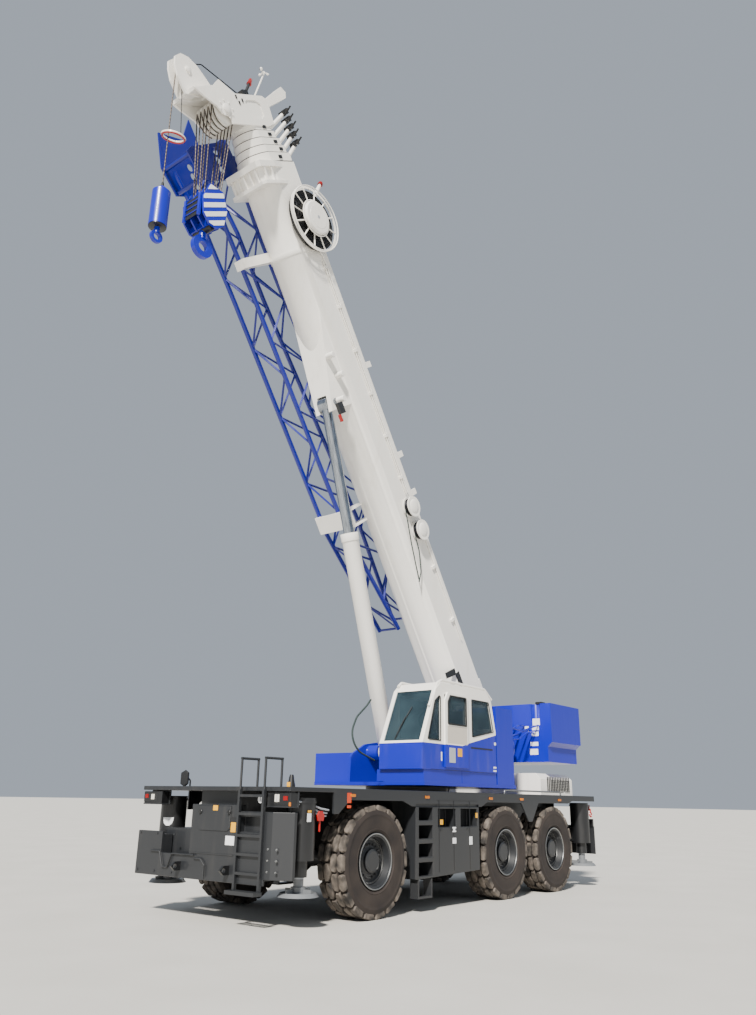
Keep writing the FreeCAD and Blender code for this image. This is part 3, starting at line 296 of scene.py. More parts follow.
class Form:
    """Closed solids gathered in one mesh, given in the crane's or the boom's own axes."""

    def __init__(self, place=at):
        self.mesh = bmesh.new()
        self.place = place

    def skin(self, rings, closed=False):
        """Skin over rings of points, capped at both ends unless it closes on itself."""
        made = [[self.mesh.verts.new(self.place(*point)) for point in ring] for ring in rings]
        count = len(made[0])
        pairs = list(zip(made, made[1:]))
        if closed:
            pairs.append((made[-1], made[0]))
        else:
            self.mesh.faces.new(made[0][::-1])
            self.mesh.faces.new(made[-1])
        for first, second in pairs:
            for k in range(count):
                self.mesh.faces.new((first[k], first[(k + 1) % count], second[(k + 1) % count], second[k]))
        return self

    def plate(self, outline, axis, low, high, edge=0.004):
        """Convex outline carried along an axis, with its edges eased."""
        middle = [sum(p[i] for p in outline) / len(outline) for i in (0, 1)]

        def eased(by):
            points = []
            for a, b in outline:
                reach = math.hypot(a - middle[0], b - middle[1])
                points.append((a + (middle[0] - a) * by / reach, b + (middle[1] - b) * by / reach))
            return points

        edge = min(edge, abs(high - low) * 0.45)
        levels = ((low, edge), (low + edge, 0), (high - edge, 0), (high, edge))
        rings = []
        for level, by in levels:
            points = eased(by) if by else outline
            rings.append([{"x": (level, a, b), "y": (a, level, b), "z": (a, b, level)}[axis] for a, b in points])
        return self.skin(rings)

    def pane(self, axis, low, high, wide, tall, edge=0.004):
        """Rectangle carried along an axis."""
        (a0, a1), (b0, b1) = wide, tall
        return self.plate([(a0, b0), (a1, b0), (a1, b1), (a0, b1)], axis, low, high, edge)

    def block(self, low, high, edge=0.004):
        (x0, y0, z0), (x1, y1, z1) = low, high
        return self.pane("z", z0, z1, (x0, x1), (y0, y1), edge)

    def turned(self, centre, axis, profile, sides=24, closed=False):
        """Profile of (distance along the axis, radius) turned about an axis through centre."""
        centre, axis = Vector(centre), Vector(axis).normalized()
        first = axis.orthogonal().normalized()
        second = axis.cross(first)
        rings = []
        for along, radius in profile:
            rings.append([centre + axis * along + (first * math.cos(t) + second * math.sin(t)) * radius
                          for t in (2 * math.pi * k / sides for k in range(sides))])
        return self.skin(rings, closed)

    def rod(self, start, end, radius, sides=12, tip=None):
        """Round bar between two points, its rims eased, narrower at its end if tip says so."""
        way = Vector(end) - Vector(start)
        ease = min(radius * 0.2, way.length * 0.3)
        last = radius if tip is None else tip
        return self.turned(start, way, [(0, radius - ease), (ease, radius), (way.length - ease, last),
                                        (way.length, last * 0.8)], sides)

    def hoop(self, centre, axis, radius, thickness, sides=48, rounds=8):
        """Ring of round bar."""
        profile = [(thickness * math.sin(t), radius + thickness * math.cos(t))
                   for t in (2 * math.pi * k / rounds for k in range(rounds))]
        return self.turned(centre, axis, profile, sides, True)

    def dome(self, centre, axis, radius, height, sides=20, steps=5):
        """Rounded cap standing on a plane."""
        profile = [(height * math.sin(a), radius * math.cos(a))
                   for a in (math.pi / 2 * k / steps * 0.97 for k in range(steps + 1))]
        return self.turned(centre, axis, [(-0.003, radius)] + profile, sides)

    def finished(self, name):
        data = bpy.data.meshes.new(name)
        bmesh.ops.recalc_face_normals(self.mesh, faces=self.mesh.faces)
        self.mesh.to_mesh(data)
        self.mesh.free()
        return data


def piece(name, shape, body, slot, paint=None):
    """Object at the origin that rides on a body, smooth but for its creases."""
    data = shape.finished(name) if isinstance(shape, Form) else shape
    data.name = name
    data.materials.clear()
    data.materials.append(PAINTS[paint or slot])
    data.polygons.foreach_set("use_smooth", [True] * len(data.polygons))
    data.set_sharp_from_angle(angle=math.radians(CREASE))
    made = bpy.data.objects.new(name, data)
    bpy.context.scene.collection.objects.link(made)
    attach(made, body)
    return made


# Geometry node trees


def new_tree(name, sockets):
    tree = bpy.data.node_groups.new(name, "GeometryNodeTree")
    tree.interface.new_socket("Geometry", in_out="INPUT", socket_type="NodeSocketGeometry")
    for label, kind in sockets + (("Material", "Material"),):
        tree.interface.new_socket(label, in_out="INPUT", socket_type="NodeSocket" + kind)
    tree.interface.new_socket("Geometry", in_out="OUTPUT", socket_type="NodeSocketGeometry")
    TREES[name] = tree
    return tree, node(tree, "NodeGroupInput").outputs


def realised(tree, source, given):
    real = node(tree, "GeometryNodeRealizeInstances", links=[(0, source)])
    coloured = node(tree, "GeometryNodeSetMaterial",
                    links=[("Geometry", real.outputs[0]), ("Material", given["Material"])])
    node(tree, "NodeGroupOutput", links=[(0, coloured.outputs[0])])


def make_path_tree():
    """Round tube along edges, its corners bent to a radius."""
    tree, given = new_tree("tube_along_path", (("Radius", "Float"), ("Bend", "Float"), ("Sides", "Int")))
    line = node(tree, "GeometryNodeMeshToCurve", links=[(0, given["Geometry"])])
    bent = node(tree, "GeometryNodeFilletCurve", mode="POLY", Count=6, Limit_Radius=True,
                links=[("Curve", line.outputs[0]), ("Radius", given["Bend"])])
    ring = node(tree, "GeometryNodeCurvePrimitiveCircle",
                links=[("Resolution", given["Sides"]), ("Radius", given["Radius"])])
    tube = node(tree, "GeometryNodeCurveToMesh", Fill_Caps=True,
                links=[("Curve", bent.outputs[0]), ("Profile Curve", ring.outputs[0])])
    realised(tree, tube.outputs[0], given)


def make_turned_tree():
    """Copies of a form turned evenly about the Y axis, then moved to their centre."""
    tree, given = new_tree("turned_copies", (("Count", "Int"), ("Phase", "Float"), ("Centre", "Vector")))
    points = node(tree, "GeometryNodeMeshLine", links=[("Count", given["Count"])], Offset=(0, 0, 0))
    index = node(tree, "GeometryNodeInputIndex").outputs[0]
    step = maths(tree, "DIVIDE", 2 * math.pi, given["Count"])
    angle = maths(tree, "ADD", maths(tree, "MULTIPLY", index, step), given["Phase"])
    turn = node(tree, "ShaderNodeCombineXYZ", links=[(1, angle)])
    copies = node(tree, "GeometryNodeInstanceOnPoints",
                  links=[("Points", points.outputs[0]), ("Instance", given["Geometry"]), ("Rotation", turn.outputs[0])])
    moved = node(tree, "GeometryNodeTransform",
                 links=[("Geometry", copies.outputs[0]), ("Translation", given["Centre"])])
    realised(tree, moved.outputs[0], given)


def make_row_tree():
    """Copies of a form in a row."""
    tree, given = new_tree("row_of_copies", (("Count", "Int"), ("Step", "Vector")))
    points = node(tree, "GeometryNodeMeshLine", links=[("Count", given["Count"]), ("Offset", given["Step"])])
    copies = node(tree, "GeometryNodeInstanceOnPoints",
                  links=[("Points", points.outputs[0]), ("Instance", given["Geometry"])])
    realised(tree, copies.outputs[0], given)


def make_bolt_tree():
    """Hexagonal bolt heads on washers, at points that say which way they face."""
    tree, given = new_tree("bolts_at_points", (("Radius", "Float"), ("Height", "Float"), ("Sides", "Int")))
    facing = node(tree, "GeometryNodeInputNamedAttribute", data_type="FLOAT_VECTOR", Name="facing")
    turn = node(tree, "FunctionNodeAlignRotationToVector", axis="Z", links=[("Vector", facing.outputs[0])])
    head = node(tree, "GeometryNodeMeshCylinder", links=[("Vertices", given["Sides"]), ("Radius", given["Radius"]),
                                                        ("Depth", given["Height"])])
    wide = maths(tree, "MULTIPLY", given["Radius"], 1.35)
    thin = maths(tree, "MULTIPLY", given["Height"], 0.5)
    washer = node(tree, "GeometryNodeMeshCylinder", Vertices=12, links=[("Radius", wide), ("Depth", thin)])
    both = node(tree, "GeometryNodeJoinGeometry")
    for source in (head, washer):
        tree.links.new(source.outputs[0], both.inputs[0])
    copies = node(tree, "GeometryNodeInstanceOnPoints",
                  links=[("Points", given["Geometry"]), ("Instance", both.outputs[0]), ("Rotation", turn.outputs[0])])
    realised(tree, copies.outputs[0], given)


def evaluated(tree_name, mesh, paint, **values):
    """Plain mesh that a node tree makes of a mesh."""
    carrier = bpy.data.objects.new(tree_name, mesh)
    bpy.context.scene.collection.objects.link(carrier)
    modifier = carrier.modifiers.new("nodes", "NODES")
    modifier.node_group = TREES[tree_name]
    sockets = {item.name: item.identifier for item in TREES[tree_name].interface.items_tree
               if item.item_type == "SOCKET" and item.in_out == "INPUT"}
    for label, value in values.items():
        modifier[sockets[label.capitalize()]] = value
    modifier[sockets["Material"]] = PAINTS[paint]
    graph = bpy.context.evaluated_depsgraph_get()
    made = bpy.data.meshes.new_from_object(carrier.evaluated_get(graph))
    carrier.modifiers.remove(modifier)
    bpy.data.objects.remove(carrier)
    shape = bmesh.new()
    shape.from_mesh(made)
    bmesh.ops.remove_doubles(shape, verts=shape.verts, dist=1e-6)
    bmesh.ops.recalc_face_normals(shape, faces=shape.faces)
    shape.to_mesh(made)
    shape.free()
    return made


def tubes(name, runs, body, slot, radius, bend=0.05, paint=None, place=at):
    """Pipes, rails, hoses or ropes along runs of points."""
    mesh = bpy.data.meshes.new(name)
    points, edges = [], []
    for run in runs:
        edges += [(len(points) + k, len(points) + k + 1) for k in range(len(run) - 1)]
        points += [place(*point) for point in run]
    mesh.from_pydata(points, edges, [])
    made = evaluated("tube_along_path", mesh, paint or slot, radius=radius, bend=bend, sides=TUBE_SIDES)
    return piece(name, made, body, slot, paint)


def bolts(name, points, facing, body, slot, radius=0.012, height=0.012, paint=None, place=at, sides=6):
    """Bolt or rivet heads at points that all face one way."""
    mesh = bpy.data.meshes.new(name)
    mesh.from_pydata([place(*point) for point in points], [], [])
    attribute = mesh.attributes.new("facing", "FLOAT_VECTOR", "POINT")
    attribute.data.foreach_set("vector", list(place(*facing) - place(0, 0, 0)) * len(points))
    made = evaluated("bolts_at_points", mesh, paint or slot, radius=radius, height=height, sides=sides)
    return piece(name, made, body, slot, paint)


def row(name, form, count, step, body, slot, paint=None):
    made = evaluated("row_of_copies", form.finished(name), paint or slot, count=count, step=tuple(step))
    return piece(name, made, body, slot, paint)


def labels(name, rows, body, slot, paint):
    """Bare plates: each row is an axis, the level of its face, its thickness outward, and its rectangle."""
    form = Form()
    for axis, level, out, wide, tall in rows:
        form.pane(axis, level - LABEL_SUNK, level + out, wide, tall, LABEL_EDGE)
    return piece(name, form, body, slot, paint)


# Operators


class CraneDressing(bpy.types.PropertyGroup):
    """Sizes that a user would change."""

    rope_width: bpy.props.FloatProperty(name="Rope width", description="Diameter of the hoisting rope",
                                        default=0.022, min=0.005, max=0.04, unit="LENGTH")
    lug_groove: bpy.props.FloatProperty(name="Tread groove", description="Gap between two blocks of the tread",
                                        default=0.022, min=0.005, max=0.06, unit="LENGTH")
    hose_width: bpy.props.FloatProperty(name="Hose width", description="Outside diameter of the hydraulic hoses",
                                        default=0.034, min=0.01, max=0.08, unit="LENGTH")


class CRANE_OT_finishes(bpy.types.Operator):
    """Gives each solid its paint, rubber, glass or steel, and eases the edges of the bent plates"""

    bl_idname = "crane.finishes"
    bl_label = "Finishes"

    def execute(self, context):
        make_paints()
        make_path_tree()
        make_turned_tree()
        make_row_tree()
        make_bolt_tree()
        for name, solid in NODES.items():
            solid.data.materials.clear()
            paint = "jack" if name.startswith("outrigger_jack") else NODE_PAINT.get(name, SLOTS[name])
            solid.data.materials.append(PAINTS[paint])
            if name in EASED:
                weld = solid.modifiers.new("weld", "WELD")
                weld.merge_threshold = 0.0002
                ease = solid.modifiers.new("ease", "BEVEL")
                ease.width = EASED[name]
                ease.segments = 2
                ease.limit_method = "ANGLE"
                ease.angle_limit = math.radians(CREASE)
        return {"FINISHED"}


def wheel_at(side_y, arc, radius):
    """Point on a wheel about its own centre, from across, the arc round the tread and the radius."""
    return Vector((radius * math.sin(arc / TYRE_R), side_y, -radius * math.cos(arc / TYRE_R)))


def tread_blocks(inner, outer, groove):
    """One shoulder block, which wraps down the sidewall, and one centre block."""
    form = Form(wheel_at)
    pitch = 2 * math.pi * TYRE_R / LUGS
    half = (pitch - groove) / 2
    side = 1 if outer > inner else -1
    middle = inner + side * 0.125
    gap = side * groove * 0.5
    foot = TYRE_R - 0.085
    shoulder = [(middle + gap, -half * 0.62), (middle + gap + side * 0.03, -half * 0.92),
                (outer - side * 0.03, -half * 0.98), (outer, -half * 0.8), (outer, half * 0.8),
                (outer - side * 0.03, half * 0.98),
                (middle + gap + side * 0.03, half * 0.92), (middle + gap, half * 0.62)]
    form.plate(shoulder, "z", foot, TYRE_R - 0.002, 0.012)
    centre = [(inner + gap, -half * 0.55), (inner + gap + side * 0.03, -half * 0.95),
              (middle - gap - side * 0.02, -half), (middle - gap, -half * 0.6), (middle - gap, half * 0.6),
              (middle - gap - side * 0.02, half),
              (inner + gap + side * 0.03, half * 0.95), (inner + gap, half * 0.55)]
    form.plate(centre, "z", foot, TYRE_R - 0.001, 0.012)
    return form


CARCASS = ((0.0, 0.735), (0.2, 0.733), (0.228, 0.722), (0.24, 0.70), (0.2475, 0.66), (0.2495, 0.655), (0.2495, 0.648),
           (0.2465, 0.643), (0.2485, 0.60), (0.248, 0.55), (0.2465, 0.50), (0.24, 0.455), (0.2435, 0.45),
           (0.2435, 0.442), (0.237, 0.437), (0.225, 0.415), (0.205, 0.398), (0.19, 0.388))


class CRANE_OT_wheels(bpy.types.Operator):
    """Builds the six tyres with their blocks, and the bright flanges and nuts of the rims"""

    bl_idname = "crane.wheels"
    bl_label = "Wheels"

    def execute(self, context):
        groove = context.scene.crane.lug_groove
        for name in WHEELS:
            low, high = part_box("tyre_" + name)
            centre = tuple((low[i] + high[i]) / 2 for i in range(3))
            side = 1 if centre[1] > 0 else -1
            body = "wheel_" + name

            def about(x, y, z):
                return Vector((centre[0] + x, centre[1] + y, centre[2] + z))

            profile = list(CARCASS) + [(-y, r) for y, r in reversed(CARCASS[1:])]
            carcass = Form(about).turned((0, 0, 0), (0, 1, 0), profile, 96, True)
            tyre = piece("tyre_carcass_" + name, carcass, body, "tyre_rubber")
            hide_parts("tyre_" + name)
            meshes = []
            for inner, outer, phase in ((0.0, -0.236, 0.0), (0.0, 0.236, math.pi / LUGS)):
                form = tread_blocks(inner, outer, groove)
                meshes.append(evaluated("turned_copies", form.finished("blocks"), "dusty_rubber", count=LUGS,
                                        phase=phase, centre=centre))
            blocks = joined_meshes("tyre_blocks_" + name, meshes)
            tread = piece("tyre_blocks_" + name, blocks, body, "tyre_rubber", "dusty_rubber")
            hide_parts("tyre_" + name)
            flange = Form(about)
            ring = [(side * a, r) for a,
                    r in ((0.222, 0.392), (0.236, 0.392), (0.239, 0.386), (0.236, 0.374), (0.222, 0.370))]
            flange.turned((0, 0, 0), (0, 1, 0), ring, 72, True)
            inner_ring = [(side * a, r) for a, r in ((0.112, 0.312), (0.132, 0.312), (0.134, 0.302), (0.112, 0.298))]
            flange.turned((0, 0, 0), (0, 1, 0), inner_ring, 64, True)
            piece("rim_flange_" + name, flange, body, "cast_steel", "worn_steel")
            nut = Form(lambda x, y, z: Vector((x, y, z)))
            nut.turned((0, side * 0.088, -0.235), (0, side, 0), [(0, 0.017), (0.028, 0.017), (0.032, 0.013)], 6)
            nut.turned((0, side * 0.1, -0.235), (0, side, 0), [(0, 0.01), (0.036, 0.01), (0.038, 0.008)], 8)
            nuts = evaluated("turned_copies", nut.finished("nut"), "cast_steel", count=20, phase=0.0, centre=centre)
            piece("wheel_nuts_" + name, nuts, body, "cast_steel")
        return {"FINISHED"}


def joined_meshes(name, meshes):
    whole = bmesh.new()
    for mesh in meshes:
        whole.from_mesh(mesh)
    data = bpy.data.meshes.new(name)
    whole.to_mesh(data)
    whole.free()
    return data


# Front face and side face of the chassis, and the row of pipes across the front
FRONT = 4.90
CHASSIS_SIDE = 1.60
PIPE_X = 4.925
# Axis of the front right jack, and the white mark on it: height and half its angle
JACK = (4.41, -1.385)
JACK_MARK = ((1.22, 0.12), (1.25, 0.31), (1.29, 0.39), (1.34, 0.42))


class CRANE_OT_front(bpy.types.Operator):
    """Adds the front's cover panel, pipes, rivets, lamps, dial, labels, tow plate, mirrors and bollard"""

    bl_idname = "crane.front"
    bl_label = "Front fittings"

    def execute(self, context):
        cover = Form()
        outline = [(-0.19, 1.24), (-0.14, 1.20), (0.45, 1.20), (0.50, 1.24), (0.50, 1.53), (-0.19, 1.53)]
        cover.plate(outline, "x", FRONT - 0.004, FRONT + 0.014, 0.006)
        cover.pane("x", FRONT - 0.004, FRONT + 0.01, (-0.30, 0.60), (0.885, 0.90), 0.003)
        piece("front_cover", cover, "carrier", "grey_paint")
        handles = Form()
        for y in (-0.14, 0.47):
            handles.turned((FRONT + 0.012, y, 1.45), (1, 0, 0), [(0, 0.034), (0.012, 0.034), (0.016, 0.03)], 20)
            handles.rod((FRONT + 0.026, y, 1.48), (FRONT + 0.026, y, 1.41), 0.009, 8)
        piece("cover_handles", handles, "carrier", "black_paint")
        tubes("front_pipes", [
            [(PIPE_X, -1.20, 0.88), (PIPE_X, -0.98, 0.88), (PIPE_X, -0.90, 0.67), (PIPE_X, -0.78, 0.67),
             (PIPE_X, -0.70, 0.86), (PIPE_X, -0.20, 0.86)],
            [(PIPE_X, -0.20, 0.82), (PIPE_X, -0.06, 0.82), (PIPE_X, 0.03, 0.74), (PIPE_X, 0.036, 0.58)]],
            "carrier", "grey_paint", 0.011, 0.03)
        rivets = [(FRONT - 0.006, y, z) for y in (1.27, 1.43) for z in (0.72, 0.86, 1.0)]
        bolts("panel_rivets", rivets, (1, 0, 0), "carrier", "grey_paint", 0.011, 0.03, "worn_steel", sides=12)
        edge_bolts = [(FRONT, y, z) for y in (-1.5, -1.1, -0.7, 0.62) for z in (1.12, 0.6)]
        bolts("body_bolts", edge_bolts, (1, 0, 0), "carrier", "grey_paint", 0.014, 0.02)
        piece("dial_case", Form().turned((4.845, 1.043, 1.629), (1, 0, 0),
                                         [(-0.02, 0.055), (0.02, 0.055), (0.026, 0.05)], 28), "carrier", "black_paint")
        piece("dial_face", Form().turned((4.869, 1.043, 1.629), (1, 0, 0), [(0, 0.047), (0.006, 0.047)], 28),
              "carrier", "white_paint", "white_vinyl")
        piece("dial_needle", Form().pane("x", 4.874, 4.879, (1.040, 1.046), (1.60, 1.66), 0.001), "carrier",
              "black_paint")
        for name, rows, slot, paint in (
                ("lamp_lenses_red", [(1.46, 1.54, 1.62, 1.68), (-1.55, -1.48, 1.62, 1.68)], "red_paint", "red_lens"),
                ("lamp_lenses_white", [(1.30, 1.335, 1.60, 1.70), (1.345, 1.38, 1.60, 1.70), (-1.40, -1.37, 1.60, 1.68),
                                       (-1.36, -1.33, 1.60, 1.68)], "lamp_lens", "lamp_lens"),
                ("lamp_lenses_amber", [(1.57, 1.60, 1.55, 1.60)], "red_paint", "amber_lens")):
            form = Form()
            for y0, y1, z0, z1 in rows:
                form.pane("x", 4.836, 4.856, (y0, y1), (z0, z1), 0.006)
            piece(name, form, "carrier", slot, paint)
        bezels = Form()
        for y0, y1 in ((1.27, 1.59), (-1.59, -1.27)):
            bezels.pane("x", 4.82, 4.846, (y0, y1), (1.565, 1.715), 0.006)
        piece("lamp_bezels", bezels, "carrier", "black_paint")
        labels("labels_yellow_front", [("x", FRONT + 0.013, 0.004, (0.13, 0.23), (1.47, 1.54)),
                                       ("x", FRONT, 0.005, (0.515, 0.62), (1.19, 1.32)),
                                       ("y", CHASSIS_SIDE, 0.003, (4.43, 4.50), (1.47, 1.50))],
               "carrier", "white_paint", "yellow_vinyl")
        labels("labels_dark_front", [("x", FRONT, 0.005, (0.515, 0.62), (1.325, 1.39))],
               "carrier", "black_paint", "black_paint")
        labels("labels_white_front", [("x", FRONT, 0.005, (0.42, 0.60), (1.02, 1.14)),
                                      ("y", CHASSIS_SIDE, 0.003, (4.43, 4.51), (1.35, 1.46))],
               "carrier", "white_paint", "white_vinyl")
        tow = Form()
        tow.plate([(4.17, 1.36), (4.28, 1.36), (4.30, 1.43), (4.26, 1.49), (4.19, 1.49), (4.15, 1.43)], "y", 1.575,
                  1.60, 0.004)
        tow.rod((4.22, 1.57, 1.36), (4.22, 1.57, 1.22), 0.014, 8)
        piece("red_hand_valve", tow, "carrier", "red_paint")
        tubes("lamp_hoses", [
            [(4.70, 1.50, 1.62), (4.45, 1.53, 1.60), (4.15, 1.52, 1.52), (3.96, 1.50, 1.50)],
            [(4.70, 1.47, 1.59), (4.45, 1.50, 1.56), (4.15, 1.49, 1.48), (3.96, 1.47, 1.46)],
            [(4.68, 1.44, 1.57), (4.42, 1.46, 1.52), (4.10, 1.46, 1.44), (3.95, 1.44, 1.42)]],
            "carrier", "black_paint", context.scene.crane.hose_width * 0.4, 0.1, "grey_vinyl")
        bollard = Form()
        bollard.turned((4.75, 1.50, 1.72), (0, 0, 1),
                       [(0, 0.06), (0.1, 0.055), (0.16, 0.04), (0.2, 0.035), (0.24, 0.025)], 20)
        bollard.pane("z", 1.715, 1.735, (4.69, 4.81), (1.44, 1.56))
        piece("deck_bollard", bollard, "carrier", "black_paint")
        labels("bollard_label", [("x", 4.803, 0.004, (1.47, 1.53), (1.80, 1.86))], "carrier", "white_paint",
               "yellow_vinyl")
        tubes("mirror_stalks", [[(4.19, -1.3, 1.74), (4.19, -1.3, 1.9), (4.24, -1.38, 1.98)],
                                [(4.60, 0.2, 1.74), (4.60, 0.2, 1.80)]], "carrier", "black_paint", 0.014, 0.04)
        mirror = Form()
        mirror.plate([(-1.46, 1.84), (-1.36, 1.80), (-1.28, 1.84), (-1.28, 2.02), (-1.36, 2.06), (-1.46, 2.02)], "x",
                     4.23, 4.27, 0.014)
        piece("front_mirror", mirror, "carrier", "black_paint")
        labels("amber_labels_arch",
               [("y", CHASSIS_SIDE, 0.004, (3.58, 3.67), (1.60, 1.74)),
                ("y", CHASSIS_SIDE, 0.004, (3.58, 3.67), (1.53, 1.57))],
               "carrier", "red_paint", "amber_paint")
        mark = Form()
        mark.skin([[(JACK[0] + radius * math.cos(a), JACK[1] + radius * math.sin(a), z)
                    for radius, way in ((0.203, 1), (0.196, -1))
                    for a in (0.55 + way * half * (k / 5 - 1) for k in range(11))] for z, half in JACK_MARK])
        piece("jack_mark", mark, "outrigger_beam_front_right", "white_paint", "white_vinyl")
        return {"FINISHED"}


class CRANE_OT_sides(bpy.types.Operator):
    """Adds the lockers' seams and labels, the deck's edge lamps, rails, treads and drive shafts"""

    bl_idname = "crane.sides"
    bl_label = "Side fittings"

    def execute(self, context):
        seams = Form()
        for side in (1, -1):
            for x in (0.36, 0.86, 1.30):
                seams.block((x - 0.006, side * CHASSIS_SIDE - 0.004, 0.56),
                            (x + 0.006, side * CHASSIS_SIDE + 0.004, 1.66), 0.002)
            seams.block((0.1, side * CHASSIS_SIDE - 0.004, 1.655), (1.36, side * CHASSIS_SIDE + 0.004, 1.665), 0.002)
            for x in (0.42, 0.80, 0.92, 1.24):
                seams.block((x - 0.03, side * CHASSIS_SIDE - 0.006, 1.18),
                            (x + 0.03, side * CHASSIS_SIDE + 0.006, 1.22), 0.004)
        piece("locker_seams", seams, "carrier", "black_paint")
        labels("labels_white_side",
               [("y", CHASSIS_SIDE, 0.006, (0.80, 0.90), (1.16, 1.24)),
                ("y", CHASSIS_SIDE, 0.006, (0.29, 0.38), (0.95, 1.08)),
                ("y", CHASSIS_SIDE, 0.006, (0.80, 0.90), (0.98, 1.07))],
               "carrier", "white_paint", "white_vinyl")
        labels("labels_yellow_side",
               [("y", CHASSIS_SIDE, 0.006, (1.19, 1.27), (1.28, 1.36)),
                ("y", CHASSIS_SIDE, 0.006, (0.10, 0.16), (1.38, 1.46))],
               "carrier", "white_paint", "yellow_vinyl")
        lamps = Form()
        for x in (-0.36, -1.51, -3.10, 1.65, 3.55):
            for y in (1.595, -1.62):
                lamps.block((x - 0.05, y, 1.685), (x + 0.05, y + 0.025, 1.725), 0.006)
        piece("edge_lamps", lamps, "carrier", "red_paint", "amber_lens")
        tubes("deck_rails", [[(-0.96, side * 1.55, 1.80), (-0.96, side * 1.55, 1.86), (-3.27, side * 1.55, 1.86),
                              (-3.27, side * 1.55, 1.80)] for side in (1, -1)],
              "carrier", "grey_paint", 0.016, 0.04, "worn_steel")
        for side in (1, -1):
            grip = Form()
            grip.turned((3.9, side * 0.35, 1.799), (0, 0, 1), [(0, 0.024), (0.006, 0.02), (0.008, 0.012)], 8)
            row("deck_grips_%s" % ("left" if side > 0 else "right"), grip, 10, (-0.12, side * 0.09, 0), "carrier",
                "grey_paint")
        shafts = Form()
        shafts.rod((2.85, 0, 0.80), (-0.8, 0, 0.86), 0.055, 20)
        shafts.rod((-1.0, 0, 0.86), (-2.75, 0, 0.80), 0.055, 20)
        for x in (2.6, -0.5, -1.2, -2.5):
            shafts.turned((x, 0, 0.83), (1, 0, 0), [(-0.06, 0.07), (-0.05, 0.085), (0.05, 0.085), (0.06, 0.07)], 20)
        piece("drive_shafts", shafts, "carrier", "cast_steel")
        rear = Form()
        for side in (1, -1):
            rear.pane("x", -4.812, -4.795, (side * 1.20, side * 1.48), (1.50, 1.62))
        piece("rear_lamp_lenses", rear, "carrier", "red_paint", "red_lens")
        hook = Form()
        hook.hoop((-4.60, 1.585, 1.42), (0, 1, 0), 0.045, 0.014, 24, 8)
        hook.rod((-4.60, 1.585, 1.46), (-4.60, 1.585, 1.54), 0.014, 8)
        piece("rear_red_ring", hook, "carrier", "red_paint")
        labels("rear_side_labels", [("y", 1.56, 0.03, (-1.90, -1.78), (1.50, 1.62))], "carrier", "red_paint",
               "amber_paint")
        return {"FINISHED"}


CAB_SIDE = 1.50
DOOR_SIDE = 1.542


